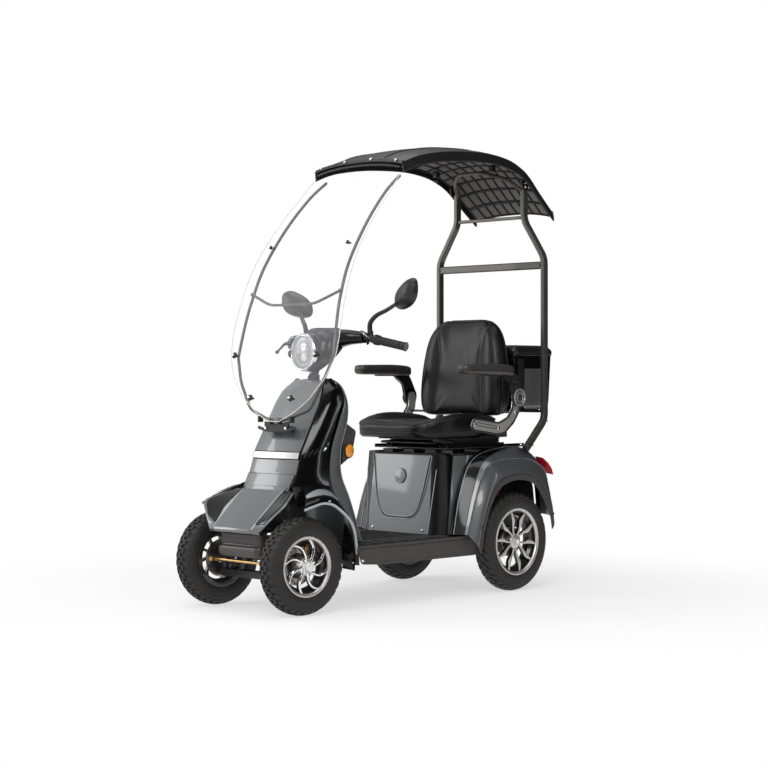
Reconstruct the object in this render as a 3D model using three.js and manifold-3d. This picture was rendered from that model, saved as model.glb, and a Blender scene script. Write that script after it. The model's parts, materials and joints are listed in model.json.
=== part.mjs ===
// Four-wheeled mobility scooter with a roof and a windscreen, in millimetres, +Z up.
// Front of the scooter is -Y and its left side is +X. Shapes are laid out from the rear axle on the
// ground, and the whole group is then moved so that the origin is under the middle of its length.
import * as THREE from 'three';
import { mergeVertices } from 'three/addons/utils/BufferGeometryUtils.js';
import Module from 'manifold-3d';

// ---- driving dimensions ----
const LENGTH_MIDDLE_Y = -464;        // middle of the overall length, from the rear axle
const REAR_WHEEL = {
  radius: 206, halfWidth: 40, bead: 127, flange: 140, x: 302, y: 0,
  spokes: 10, hubRadius: 32, boreRadius: 9.9, spokeFace: 26,
};
const FRONT_WHEEL = {
  radius: 184, halfWidth: 41, bead: 101.6, flange: 114, x: 242, y: -1148,
  spokes: 8, hubRadius: 30, boreRadius: 8.4, spokeFace: 36,
};
const KINGPIN_X = 188;
const STEER_REST = -5 * Math.PI / 180;   // steering stands turned a little to the right
const COLUMN_RAKE = 20 * Math.PI / 180;
const COLUMN_POINT = new THREE.Vector3(0, -851, 889);
const TIE_ROD = { y: -1228, z: 190, radius: 7 };
const STEERING_ARM = 80;
const GAP = 0.4;
const MAST = { x: 297, width: 20, depth: 30, footY: 102, footZ: 583, kinkY: 231, kinkZ: 709 };
const ROOF_THICKNESS = 4;
const SKIN = 3;
const BOX_CORNERS = { front: 18, rear: 24 };
const RAIL_X = 100;                      // chassis side rails, either side of the middle
const RAIL_Z = 190;
const SEAT_RAIL_X = 150;
const BRACKET_X = [290, 300];            // seat side brackets
const ARM_X = [300.4, 312];              // armrest webs, just outside the brackets
const ARM_PAD_X = 292;
const HOUSING = { foot: 248, height: 320, frontY: -372, lean: 36 };
const FLAP_Z = 486;

const wasm = await Module();
wasm.setup();

// ---- materials ----
function paint(color, roughness = 0.3, metalness = 0.0) {
  return new THREE.MeshStandardMaterial({ color, roughness, metalness });
}
const metallicGrey = () => paint(0x55595d, 0.32, 0.5);
const glossBlack = () => paint(0x08080a, 0.08);
const satinBrown = () => paint(0x3b3435, 0.5);
const satinBlack = () => paint(0x141415, 0.45);
const rubber = () => paint(0x1b1a1a, 0.9);
const vinyl = () => paint(0x121213, 0.5);
const chrome = () => paint(0xcfcfcf, 0.15, 1.0);
const alloy = () => paint(0xb8b6b2, 0.3, 0.9);
const steel = () => paint(0x2a2a2c, 0.4, 0.6);
const frameTube = () => paint(0x37322f, 0.45, 0.2);
const redLens = () => paint(0xb01020, 0.15);
const springRed = () => paint(0xa81818, 0.4);
const goldZinc = () => paint(0xb58a3c, 0.3, 0.8);

function clearSheet() {
  const sheet = paint(0xdfe6e8, 0.05);
  sheet.transparent = true;
  sheet.opacity = 0.25;
  return sheet;
}

// ---- solids ----
const v3 = (x, y, z) => new THREE.Vector3(x, y, z);

function toSolid(geometry) {
  const bare = geometry.clone();
  bare.deleteAttribute('normal');
  bare.deleteAttribute('uv');
  const merged = mergeVertices(bare, 1e-3);
  return new wasm.Manifold(new wasm.Mesh({
    numProp: 3,
    vertProperties: Float32Array.from(merged.attributes.position.array),
    triVerts: Uint32Array.from(merged.index.array),
  }));
}

function toGeometry(solid) {
  const mesh = solid.getMesh();
  const geometry = new THREE.BufferGeometry();
  const corners = Float32Array.from(mesh.vertProperties);
  geometry.setAttribute('position', new THREE.BufferAttribute(corners, 3));
  geometry.setIndex(new THREE.BufferAttribute(Uint32Array.from(mesh.triVerts), 1));
  geometry.computeVertexNormals();
  return geometry;
}

function join(...geometries) {
  return toGeometry(geometries.map(toSolid).reduce((a, b) => a.add(b)));
}

function cut(geometry, ...tools) {
  return toGeometry(tools.map(toSolid).reduce((a, b) => a.subtract(b), toSolid(geometry)));
}

function at(geometry, x, y, z) {
  geometry.translate(x, y, z);
  return geometry;
}

function mirrored(geometry) {
  return toGeometry(toSolid(geometry).mirror([1, 0, 0]));
}

function box(x0, x1, y0, y1, z0, z1) {
  const geometry = new THREE.BoxGeometry(x1 - x0, y1 - y0, z1 - z0);
  return at(geometry, (x0 + x1) / 2, (y0 + y1) / 2, (z0 + z1) / 2);
}

// A row of points from the right edge to the left one, from its middle-to-left half.
function wholeRow(half) {
  const other = half.slice(1).reverse();
  return [...other.map((p) => v3(-p.x, p.y, p.z)), ...half];
}

// A round bar between two points.
function rod(from, to, radius, sides = 12, endRadius = radius) {
  const length = from.distanceTo(to);
  const geometry = new THREE.CylinderGeometry(endRadius, radius, length, sides);
  const direction = to.clone().sub(from).normalize();
  const turn = new THREE.Quaternion().setFromUnitVectors(v3(0, 1, 0), direction);
  geometry.applyQuaternion(turn);
  const middle = from.clone().add(to).multiplyScalar(0.5);
  return at(geometry, middle.x, middle.y, middle.z);
}

// A polyline whose corners are rounded by short curves.
function bentPath(points, bend) {
  const path = new THREE.CurvePath();
  let start = points[0];
  for (let i = 1; i < points.length - 1; i += 1) {
    const corner = points[i];
    const before = corner.clone().add(start.clone().sub(corner).setLength(bend));
    const after = corner.clone().add(points[i + 1].clone().sub(corner).setLength(bend));
    path.add(new THREE.LineCurve3(start, before));
    path.add(new THREE.QuadraticBezierCurve3(before, corner, after));
    start = after;
  }
  path.add(new THREE.LineCurve3(start, points[points.length - 1]));
  return path;
}

function roundSection(radius, sides) {
  const section = new THREE.Shape();
  for (let i = 0; i < sides; i += 1) {
    const angle = 2 * Math.PI * i / sides;
    const x = radius * Math.cos(angle);
    const y = radius * Math.sin(angle);
    if (i === 0) section.moveTo(x, y);
    else section.lineTo(x, y);
  }
  section.closePath();
  return section;
}

function boxSection(width, height, corner) {
  const w = width / 2;
  const h = height / 2;
  const outline = [[w, -h + corner], [w, h - corner], [w - corner, h], [-w + corner, h],
    [-w, h - corner], [-w, -h + corner], [-w + corner, -h], [w - corner, -h]];
  return new THREE.Shape(outline.map(([x, y]) => new THREE.Vector2(x, y)));
}

function sweep(section, path, steps) {
  return new THREE.ExtrudeGeometry(section, { steps, bevelEnabled: false, extrudePath: path });
}

function tube(points, radius, steps, sides = 10, bend = 30) {
  return sweep(roundSection(radius, sides), bentPath(points, bend), steps);
}

function smoothTube(points, radius, steps, sides = 10) {
  return sweep(roundSection(radius, sides), new THREE.CatmullRomCurve3(points), steps);
}

// An outline in Y and Z, thickened along X from x0 to x1.
function sidePlate(outline, x0, x1) {
  const shape = new THREE.Shape(outline.map(([y, z]) => new THREE.Vector2(y, z)));
  const geometry = new THREE.ExtrudeGeometry(shape, { depth: x1 - x0, bevelEnabled: false });
  geometry.applyMatrix4(new THREE.Matrix4().set(0, 0, 1, x0, 1, 0, 0, 0, 0, 1, 0, 0, 0, 0, 0, 1));
  return geometry;
}

// An outline in X and Z, thickened along Y from y0 to y1.
function frontPlate(outline, y0, y1) {
  const shape = new THREE.Shape(outline.map(([x, z]) => new THREE.Vector2(x, -z)));
  const geometry = new THREE.ExtrudeGeometry(shape, { depth: y1 - y0, bevelEnabled: false });
  geometry.applyMatrix4(new THREE.Matrix4().set(1, 0, 0, 0, 0, 0, 1, y0, 0, -1, 0, 0, 0, 0, 0, 1));
  return geometry;
}

// A closed solid from triangles, with its faces turned outwards.
function closedMesh(vertices, triangles) {
  let volume = 0;
  for (const [a, b, c] of triangles) {
    volume += vertices[a].dot(vertices[b].clone().cross(vertices[c]));
  }
  const faces = volume > 0 ? triangles : triangles.map(([a, b, c]) => [a, c, b]);
  const geometry = new THREE.BufferGeometry();
  const corners = vertices.flatMap((p) => p.toArray());
  geometry.setAttribute('position', new THREE.Float32BufferAttribute(corners, 3));
  geometry.setIndex(faces.flat());
  geometry.computeVertexNormals();
  return geometry;
}

// Rings of equal count, joined in order and capped at both ends.
function loft(rings) {
  const count = rings[0].length;
  const vertices = rings.flat();
  const triangles = [];
  for (let i = 0; i < rings.length - 1; i += 1) {
    for (let j = 0; j < count; j += 1) {
      const a = i * count + j;
      const b = i * count + (j + 1) % count;
      triangles.push([a, b, b + count], [a, b + count, a + count]);
    }
  }
  for (const [ring, flip] of [[0, true], [rings.length - 1, false]]) {
    const centre = rings[ring].reduce((sum, p) => sum.add(p), v3(0, 0, 0)).divideScalar(count);
    const middle = vertices.push(centre) - 1;
    for (let j = 0; j < count; j += 1) {
      const a = ring * count + j;
      const b = ring * count + (j + 1) % count;
      triangles.push(flip ? [middle, b, a] : [middle, a, b]);
    }
  }
  return closedMesh(vertices, triangles);
}

// A sheet through a grid of points, thickened by moving a second layer along the sheet's normals.
function skin(grid, thickness) {
  const rows = grid.length;
  const cols = grid[0].length;
  const inner = grid.map((row, i) => row.map((point, j) => {
    const along = grid[Math.min(i + 1, rows - 1)][j].clone().sub(grid[Math.max(i - 1, 0)][j]);
    const across = row[Math.min(j + 1, cols - 1)].clone().sub(row[Math.max(j - 1, 0)]);
    return point.clone().add(along.cross(across).setLength(thickness));
  }));
  const vertices = [...grid.flat(), ...inner.flat()];
  const layer = rows * cols;
  const triangles = [];
  const quad = (a, b, c, d) => triangles.push([a, b, c], [a, c, d]);
  for (let i = 0; i < rows - 1; i += 1) {
    for (let j = 0; j < cols - 1; j += 1) {
      const a = i * cols + j;
      quad(a, a + 1, a + cols + 1, a + cols);
      quad(layer + a, layer + a + cols, layer + a + cols + 1, layer + a + 1);
    }
  }
  for (let i = 0; i < rows - 1; i += 1) {
    const left = i * cols;
    const right = left + cols - 1;
    quad(left, left + cols, layer + left + cols, layer + left);
    quad(right + cols, right, layer + right, layer + right + cols);
  }
  for (let j = 0; j < cols - 1; j += 1) {
    const last = (rows - 1) * cols + j;
    quad(j + 1, j, layer + j, layer + j + 1);
    quad(last, last + 1, layer + last + 1, layer + last);
  }
  return closedMesh(vertices, triangles);
}

// Points of a smooth curve through the given [a, b, ...] rows, as arrays of the same length.
function smooth(rows, count) {
  const curves = [];
  for (let k = 0; k < rows[0].length; k += 3) {
    const points = rows.map((row) => v3(row[k], row[k + 1] ?? 0, row[k + 2] ?? 0));
    curves.push(new THREE.CatmullRomCurve3(points, false, 'catmullrom', 0.4));
  }
  const out = [];
  for (let i = 0; i < count; i += 1) {
    const t = i / (count - 1);
    out.push(curves.flatMap((curve) => curve.getPoint(t).toArray()));
  }
  return out;
}

function roundedBlock(x0, x1, y0, y1, z0, z1, corner) {
  const outline = new THREE.Shape();
  outline.moveTo(x0 + corner, y0);
  outline.lineTo(x1 - corner, y0);
  outline.quadraticCurveTo(x1, y0, x1, y0 + corner);
  outline.lineTo(x1, y1 - corner);
  outline.quadraticCurveTo(x1, y1, x1 - corner, y1);
  outline.lineTo(x0 + corner, y1);
  outline.quadraticCurveTo(x0, y1, x0, y1 - corner);
  outline.lineTo(x0, y0 + corner);
  outline.quadraticCurveTo(x0, y0, x0 + corner, y0);
  const options = { depth: z1 - z0, bevelEnabled: false, curveSegments: 4 };
  const geometry = new THREE.ExtrudeGeometry(outline, options);
  return at(geometry, 0, 0, z0);
}

// A solid of revolution about X from [radius, x] points that close on themselves.
function turned(profile, segments) {
  const points = profile.map(([radius, x]) => new THREE.Vector2(radius, x));
  const geometry = new THREE.LatheGeometry([...points, points[0].clone()], segments);
  geometry.rotateZ(-Math.PI / 2);
  return toGeometry(toSolid(fixWinding(geometry)));
}

function fixWinding(geometry) {
  const bare = geometry.clone();
  bare.deleteAttribute('normal');
  bare.deleteAttribute('uv');
  const merged = mergeVertices(bare, 1e-3);
  const p = merged.attributes.position;
  const vertices = [];
  for (let i = 0; i < p.count; i += 1) vertices.push(v3(p.getX(i), p.getY(i), p.getZ(i)));
  const triangles = [];
  const index = merged.index.array;
  for (let i = 0; i < index.length; i += 3) {
    const [a, b, c] = [index[i], index[i + 1], index[i + 2]];
    if (a !== b && b !== c && a !== c) triangles.push([a, b, c]);
  }
  return closedMesh(vertices, triangles);
}

const columnPoint = (z) => v3(0, COLUMN_POINT.y + (z - COLUMN_POINT.z) * Math.tan(COLUMN_RAKE), z);
const columnAxis = v3(0, Math.sin(COLUMN_RAKE), Math.cos(COLUMN_RAKE));

const scooter = new THREE.Group();
scooter.position.set(0, -LENGTH_MIDDLE_Y, 0);

function piece(name, geometry, material, parent = scooter) {
  const mesh = new THREE.Mesh(geometry, material);
  mesh.name = name;
  parent.add(mesh);
  return mesh;
}

// A group turned about an axis through a point; its meshes keep the scooter's own coordinates.
function turnedGroup(point, axis, angle) {
  const outer = new THREE.Group();
  outer.position.copy(point);
  outer.quaternion.setFromAxisAngle(axis, angle);
  const inner = new THREE.Group();
  inner.position.copy(point).multiplyScalar(-1);
  outer.add(inner);
  scooter.add(outer);
  return inner;
}

// ---- chassis ----
function chassisFrame() {
  const parts = [];
  for (const side of [-1, 1]) {
    const x = side * RAIL_X;
    const rail = [v3(x, -1095, RAIL_Z), v3(x, -185, RAIL_Z), v3(x, -80, 330), v3(x, 200, 330)];
    parts.push(tube(rail, 15, 14, 6, 40));
    parts.push(rod(v3(x, -1080, RAIL_Z), v3(side * 12, -1014, 445), 12, 6));
    parts.push(rod(v3(side * 150, -1148, 396), v3(side * 10, -1016, 440), 9, 6));
    parts.push(rod(v3(x, -120, 283), v3(x, -120, 588), 12, 6));
    parts.push(rod(v3(x, 150, 330), v3(x, 150, 588), 12, 6));
    parts.push(rod(v3(side * 270, 102, 545), v3(x, 150, 500), 11, 6));
    parts.push(box(side * 270 - 18, side * 270 + 18, 82, 122, 540, 546));
  }
  const crossTubes = [[-1080, RAIL_Z], [-925, RAIL_Z], [-640, RAIL_Z], [-380, RAIL_Z], [190, 330]];
  for (const [y, z] of crossTubes) {
    parts.push(rod(v3(-110, y, z), v3(110, y, z), 11, 6));
  }
  parts.push(rod(v3(-168, -1148, 396), v3(168, -1148, 396), 10, 6));
  parts.push(rod(v3(-238, 0, 512), v3(238, 0, 512), 10, 6));
  parts.push(box(-112, -88, -4, 4, 330, 512));
  parts.push(box(88, 112, -4, 4, 330, 512));
  parts.push(box(-112, 112, -132, -108, 580, 592));
  parts.push(box(-112, 112, 138, 162, 580, 592));
  parts.push(rod(v3(0, -925, RAIL_Z), columnPoint(640).add(v3(0, 10, 0)), 12, 6));
  const neck = rod(columnPoint(420), columnPoint(800), 24, 14);
  const bore = rod(columnPoint(400), columnPoint(820), 16, 14);
  return cut(join(neck, ...parts), bore);
}

function floorPan() {
  const top = roundedBlock(-300, 300, -905, -225, 232, 240, 24);
  const outer = roundedBlock(-300, 300, -905, -225, 168, 240, 24);
  const rim = cut(outer, roundedBlock(-296, 296, -901, -180, 160, 250, 20));
  const railNotch = box(-150, 150, -1000, -100, 150, 231.6);
  const rearNotch = box(-150, 150, -338, -100, 150, 260);
  return cut(join(top, rim), railNotch, rearNotch);
}

function floorMat() {
  const ribs = [];
  for (let i = 0; i < 6; i += 1) {
    const y = -860 + i * 78;
    ribs.push(box(-262, -170, y, y + 34, 244, 249));
    ribs.push(box(170, 262, y, y + 34, 244, 249));
  }
  return join(roundedBlock(-284, 284, -888, -352, 240 + GAP, 246, 20), ...ribs);
}

// ---- front body ----
// Rows of the hood from the lip to the shield: centre height, crease and wing edge.
const HOOD_ROWS = [
  { y: -1290, z: 320, crease: [103, -1283, 319], wing: [139, -1270, 315] },
  { y: -1250, z: 356, crease: [105, -1243, 355], wing: [190, -1246, 370] },
  { y: -1210, z: 391, crease: [107, -1204, 390], wing: [224, -1220, 412] },
  { y: -1168, z: 426, crease: [108, -1165, 424], wing: [196, -1170, 432] },
  { y: -1128, z: 458, crease: [110, -1125, 456], wing: [160, -1115, 452] },
];

function hoodGrid() {
  return HOOD_ROWS.map(({ y, z, crease, wing }) => wholeRow([
    v3(0, y, z),
    v3(crease[0] * 0.55, y * 0.7 + crease[1] * 0.3, z * 0.97 + crease[2] * 0.03),
    v3(...crease),
    v3(...wing),
  ]));
}

function noseHood() {
  return skin(hoodGrid(), SKIN);
}

function frontGrille() {
  const ring = (x, y, z, rearY) => [v3(-x, y, z), v3(x, y, z), v3(x, rearY, z), v3(-x, rearY, z)];
  const outer = loft([ring(114, -1246, 296, -1185), ring(106, -1240, 214, -1185)]);
  const inner = loft([ring(110, -1242, 306, -1170), ring(102, -1236, 204, -1170)]);
  const slots = [];
  for (const z of [252, 266, 280]) slots.push(box(-84, 84, -1260, -1225, z, z + 6));
  return cut(outer, inner, ...slots);
}

// Half outline of the upper body at one height: z, half-width and y of the front panel's edge,
// half-width and y of the rear edge.
const SHIELD_ROWS = [
  [472, 127, -1100, 168, -935],
  [520, 130, -1074, 158, -938],
  [600, 128, -1048, 154, -925],
  [700, 126, -990, 156, -885],
  [790, 122, -938, 154, -850],
  [842, 108, -908, 140, -842],
  [874, 70, -880, 100, -848],
];

function shieldShell() {
  const grid = SHIELD_ROWS.map(([z, w, y, rearW, rearY]) => [
    v3(rearW, rearY, z),
    v3((w + rearW) / 2 + 9, y * 0.55 + rearY * 0.45, z),
    v3(w + 1, y + 6, z),
  ]);
  const side = skin(grid, SKIN);
  const bridges = [
    box(-150, 150, -1010, -1002, 560, 570),
    box(-146, 146, -952, -944, 716, 724),
  ];
  return join(side, mirrored(side), ...bridges);
}

function shieldPanel() {
  const rows = SHIELD_ROWS.map(([z, w, y]) => (
    wholeRow([v3(0, y - 12, z), v3(w * 0.6, y - 7, z), v3(w - 2, y, z)])
  ));
  return skin(rows, SKIN);
}

function trimStrip() {
  const arc = [[600, -1066], [574, -1074]].map(([z, y]) => (
    wholeRow([v3(0, y - 4, z), v3(78, y + 1, z), v3(130, y + 10, z)])
  ));
  return skin(arc, -2.4);
}

// The leg shield at one height: z, half-width, y of its flat, y of its side edge.
const LEG_ROWS = [
  [250, 196, -782, -800],
  [352, 178, -803, -838],
  [430, 172, -830, -905],
  [500, 168, -862, -930],
  [560, 164, -868, -928],
  [624, 164, -862, -915],
  [717, 166, -832, -880],
  [790, 162, -826, -848],
  [850, 140, -834, -840],
  [876, 90, -828, -832],
];

function legShield() {
  const grid = LEG_ROWS.map(([z, w, y, sideY]) => wholeRow([
    v3(0, y, z),
    v3(w * 0.6, y, z),
    v3(w - 8, y, z),
    v3(w, y - 6, z),
    v3(w + 2, Math.min(sideY, y - 10), z),
  ]));
  const hole = rod(columnPoint(780), columnPoint(960), 32, 14);
  return cut(skin(grid, SKIN), hole);
}

function gloveBox() {
  const outline = [[-826, 716], [-764, 678], [-790, 578], [-850, 548]];
  const block = sidePlate(outline, -150, 150);
  const hollow = sidePlate([[-860, 706], [-774, 674], [-797, 586], [-870, 562]], -144, 144);
  return cut(block, hollow);
}

// Edge of the front wheel arch, from above the wheel round to the flap behind it.
const FRONT_ARCH = [
  [-1180, 393], [-1130, 405], [-1082, 413], [-1033, 405], [-993, 382],
  [-952, 350], [-924, 308], [-912, 254], [-908, 200], [-912, 152],
];
const FRONT_ARCH_TOP = [
  [-1080, 470], [-1060, 478], [-1030, 484], [-985, 482], [-950, 466],
  [-915, 430], [-888, 380], [-886, 330], [-909, 240], [-913, 156],
];

function frontFender() {
  const grid = FRONT_ARCH.map(([y, z], i) => {
    const [topY, topZ] = FRONT_ARCH_TOP[i];
    const inner = i < 5 ? 178 : 182 + (i - 4) * 8;
    return [
      v3(285, y, z),
      v3(262, y * 0.7 + topY * 0.3, z + (topZ - z) * 0.42),
      v3(inner, topY, topZ),
    ];
  });
  return skin(grid, -SKIN);
}

// ---- windscreen ----
// The sheet's middle from top to bottom, as y and z.
const SCREEN_LINE = [
  [-607, 1696], [-632, 1674], [-685, 1617], [-745, 1555], [-803, 1488],
  [-870, 1401], [-911, 1332], [-946, 1259], [-969, 1197], [-995, 1114],
  [-1012, 1039], [-1026, 966], [-1050, 858], [-1060, 780], [-1072, 718],
];
// The bent rod that carries the sheet, from its upper left end to the middle of the bottom.
const ROD_LINE = [
  [207, -593, 1690], [214, -685, 1617], [226, -803, 1488], [238, -911, 1332],
  [248, -969, 1197], [258, -1000, 1090], [268, -1026, 966], [230, -1046, 868],
  [165, -1052, 778], [60, -1066, 728], [0, -1070, 720],
];

function screenFrame() {
  const half = ROD_LINE.map(([x, y, z]) => v3(x, y + 16, z));
  const hoop = smoothTube(wholeRow(half.reverse()).reverse(), 5.5, 36, 5);
  const bend = [v3(244, -952, 1218), v3(124, -972, 1171), v3(-124, -972, 1171), v3(-244, -952, 1218)];
  const brace = tube(bend, 5, 12, 6, 30);
  const foot = box(-62, 62, -1056, -1046, 676, 716);
  const head = box(-62, 62, -1066, -1046, 706, 722);
  const stays = [-56, 56].map((x) => box(x - 6, x + 6, -1050, -1021, 676, 700));
  return join(hoop, brace, foot, head, ...stays);
}

// The sheet's half-width at a height, from top to bottom, as z and half-width.
const SCREEN_WIDTH = [
  [1707, 245], [1523, 262], [1278, 285], [1100, 298], [1038, 300],
  [966, 294], [887, 258], [807, 186], [756, 112], [712, 20],
];

function halfWidthAt(z) {
  for (let i = 0; i < SCREEN_WIDTH.length - 1; i += 1) {
    const [z0, w0] = SCREEN_WIDTH[i];
    const [z1, w1] = SCREEN_WIDTH[i + 1];
    if (z <= z0 && z >= z1) return w1 + (w0 - w1) * (z - z1) / (z0 - z1);
  }
  return SCREEN_WIDTH[SCREEN_WIDTH.length - 1][1];
}

function windscreen() {
  const line = smooth(SCREEN_LINE.map(([y, z]) => [0, y, z]), 22);
  const grid = line.map(([, y, z]) => {
    const half = halfWidthAt(z);
    return [-1, -0.6, 0, 0.6, 1].map((u) => v3(u * half, y - 3 + u * u * 6 - 4, z));
  });
  return skin(grid, -2.5);
}

// ---- seat base and rear body ----
// One ring of the housing: a narrow front with cut corners, a wide middle and a straight rear.
function housingRing(z, wall) {
  const t = (z - HOUSING.foot) / HOUSING.height;
  const w = 192 - wall - 16 * t;
  const frontY = HOUSING.frontY + wall + HOUSING.lean * t;
  const wide = wall ? [w + 2, frontY + 40, 190, -290 + 40 * t] : [236, frontY + 40, 238, -300 + 40 * t];
  const waist = wall ? [190, -270 + 60 * t] : [196, -286 + 60 * t];
  const half = [
    [w - 14, frontY],
    [w, frontY + 12],
    wide.slice(0, 2),
    wide.slice(2),
    waist,
    [waist[0], 205 - wall],
  ];
  const left = half.map(([x, y]) => v3(x, y, z));
  const right = half.map(([x, y]) => v3(-x, y, z)).reverse();
  return [right[right.length - 1], ...left, ...right.slice(0, -1)];
}

function batteryHousing() {
  const outer = loft([248, 410, 568].map((z) => housingRing(z, 0)));
  const inner = loft([240, 410, 576].map((z) => housingRing(z, 6)));
  const axleGap = box(-260, 260, -60, 60, 180, 300);
  const railGap = box(-230, 230, 190, 220, 300, 360);
  const crossTubeGap = box(-300, 300, -12, 12, 495, 530);
  const mastGap = box(-300, 300, 90, 165, 480, 560);
  return cut(outer, inner, axleGap, railGap, crossTubeGap, mastGap);
}

// Leans a shape drawn upright in the plane y = 0 back onto the front of the housing.
function leanOntoHousing(geometry) {
  geometry.translate(0, 0, -HOUSING.foot);
  geometry.rotateX(-Math.atan2(HOUSING.lean, HOUSING.height));
  return at(geometry, 0, HOUSING.frontY, HOUSING.foot);
}

function batteryPanel() {
  const shape = [
    [-140, 560], [140, 560], [118, 420], [96, 362],
    [60, 340], [-60, 340], [-96, 362], [-118, 420],
  ];
  const hole = at(new THREE.CylinderGeometry(27, 27, 60, 20), 0, -4, FLAP_Z);
  return leanOntoHousing(cut(frontPlate(shape, -8, -GAP), hole));
}

function chargeFlap() {
  return leanOntoHousing(at(new THREE.CylinderGeometry(26.4, 26.4, 4, 20), 0, -6, FLAP_Z));
}

function batteryPack() {
  const block = roundedBlock(-165, 165, -325, -200, 250, 430, 10);
  const loop = [[-60, 428], [-60, 462], [60, 462], [60, 428]].map(([x, z]) => v3(x, -262, z));
  return join(block, tube(loop, 6, 8, 6, 16));
}

// Rear fender: [inner edge y, z], [ridge y, z], [lip y, z]
const REAR_FENDER = [
  [[-318, 250], [-292, 250], [-244, 172]],
  [[-282, 400], [-252, 372], [-222, 262]],
  [[-236, 505], [-206, 474], [-176, 372]],
  [[-182, 556], [-155, 530], [-122, 434]],
  [[-96, 578], [-85, 545], [-62, 458]],
  [[10, 590], [0, 548], [5, 465]],
  [[90, 594], [84, 545], [80, 453]],
  [[170, 572], [150, 526], [130, 420]],
  [[235, 515], [208, 486], [178, 358]],
  [[270, 420], [246, 385], [214, 300]],
  [[286, 300], [262, 296], [226, 246]],
];

function rearFender() {
  const grid = REAR_FENDER.map(([inner, ridge, lip], i) => [
    v3(i < 4 ? 243 : 212, inner[0], inner[1] + 4),
    v3(262, ...inner),
    v3(318, ...ridge),
    v3(345, ridge[0] * 0.4 + lip[0] * 0.6, ridge[1] * 0.45 + lip[1] * 0.55),
    v3(346, ...lip),
  ]);
  return skin(grid, SKIN);
}

function tailLamp() {
  const outline = [[206, 562], [272, 508], [286, 474], [272, 478]];
  const ring = (x, drop) => outline.map(([y, z]) => v3(x, y, z + drop));
  return loft([ring(262, 0), ring(322, -6)]);
}

// ---- axles, wheels and suspension ----
function rearAxle() {
  const tubePart = rod(v3(-250, 0, 206), v3(250, 0, 206), 22, 14);
  const gearbox = rod(v3(-46, 0, 206), v3(46, 0, 206), 58, 18);
  const motor = rod(v3(46, -30, 206), v3(-86, -30, 206), 50, 16);
  const stubs = rod(v3(-322, 0, 206), v3(322, 0, 206), 9.5, 12);
  const pads = [-223, 223].map((x) => box(x - 27, x + 27, -20, 20, 206, 236));
  return join(tubePart, gearbox, motor, stubs, ...pads);
}

function shock(x, y, z0, z1, coil) {
  const turns = 4;
  const body = rod(v3(x, y, z0), v3(x, y, z1), coil * 0.45, 8);
  const rings = [];
  const pitch = (z1 - z0 - 30) / turns;
  for (let i = 0; i < turns; i += 1) {
    const z = z0 + 15 + pitch * (i + 0.25);
    rings.push(rod(v3(x, y, z), v3(x, y, z + pitch * 0.45), coil, 10));
  }
  return join(body, ...rings);
}

function frontAxle() {
  const y = FRONT_WHEEL.y;
  const beam = box(-202, 202, y - 20, y + 20, 119, 146);
  const pins = [-KINGPIN_X, KINGPIN_X].map((x) => rod(v3(x, y, 130), v3(x, y, 224), 9, 12));
  const links = [-80, 80].map((x) => box(x - 14, x + 14, y + 12, y + 42, 122, 142));
  return join(beam, ...pins, ...links);
}

function knuckle() {
  const onPin = (z) => v3(KINGPIN_X, FRONT_WHEEL.y, z);
  const onStub = (x) => v3(x, FRONT_WHEEL.y, FRONT_WHEEL.radius);
  const sleeve = rod(onPin(148), onPin(218), 16, 14);
  const bore = rod(onPin(140), onPin(230), 9.6, 14);
  const stub = rod(onStub(KINGPIN_X + 12), onStub(276), 8, 12);
  const boss = rod(onStub(KINGPIN_X + 12), onStub(KINGPIN_X + 24), 14, 12);
  const armEnd = FRONT_WHEEL.y - STEERING_ARM - 10;
  const arm = box(KINGPIN_X - 22, KINGPIN_X - 6, armEnd, FRONT_WHEEL.y, 198, 206);
  return cut(join(sleeve, stub, boss, arm), bore);
}

function tieRod() {
  const end = KINGPIN_X - 14;
  const onRod = (x, lift) => v3(x, TIE_ROD.y, TIE_ROD.z + lift);
  const bar = rod(onRod(-end, 0), onRod(end, 0), TIE_ROD.radius * 0.8, 10);
  const eyes = [-end, end].map((x) => rod(onRod(x, -8), onRod(x, 7), 11, 12));
  return join(bar, ...eyes);
}

function tyreGeometry({ radius, halfWidth, bead }) {
  const w = halfWidth;
  const h = radius - bead;
  const outer = [
    [bead + GAP, -30],
    [bead + 0.2 * h, -31],
    [bead + 0.36 * h, -w],
    [bead + 0.85 * h, -w * 0.9],
    [radius, -w * 0.45],
  ];
  const other = outer.slice().reverse().map(([r, x]) => [r, -x]);
  const deep = bead + 0.8 * h;
  const cavity = [[bead + GAP, 22], [deep, 24], [deep, -24], [bead + GAP, -22]];
  return turned([...outer, ...other, ...cavity], 20);
}

function rimGeometry({ bead, flange, spokes, hubRadius, boreRadius, spokeFace }) {
  const barrel = turned([
    [bead - 9, -33], [flange, -36], [flange, -32], [bead, -31],
    [bead, 31], [flange, 32], [flange, 36], [bead - 9, 34],
  ], 20);
  const bore = rod(v3(-40, 0, 0), v3(60, 0, 0), boreRadius, 12);
  const hub = cut(rod(v3(-20, 0, 0), v3(spokeFace, 0, 0), hubRadius, 12), bore);
  const arms = [];
  for (let i = 0; i < spokes; i += 1) {
    const arm = box(spokeFace - 24, spokeFace - 6, -9, 9, hubRadius - 4, bead - 6);
    arm.rotateX(2 * Math.PI * i / spokes);
    arms.push(arm);
  }
  return join(barrel, hub, ...arms);
}

function wheel(name, size, side, parent) {
  const rim = rimGeometry(size);
  const rimMesh = piece(`rim_${name}`, side > 0 ? rim : mirrored(rim), alloy(), parent);
  const tyreMesh = piece(`tyre_${name}`, tyreGeometry(size), rubber(), parent);
  for (const mesh of [rimMesh, tyreMesh]) mesh.position.set(side * size.x, size.y, size.radius);
}

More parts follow.
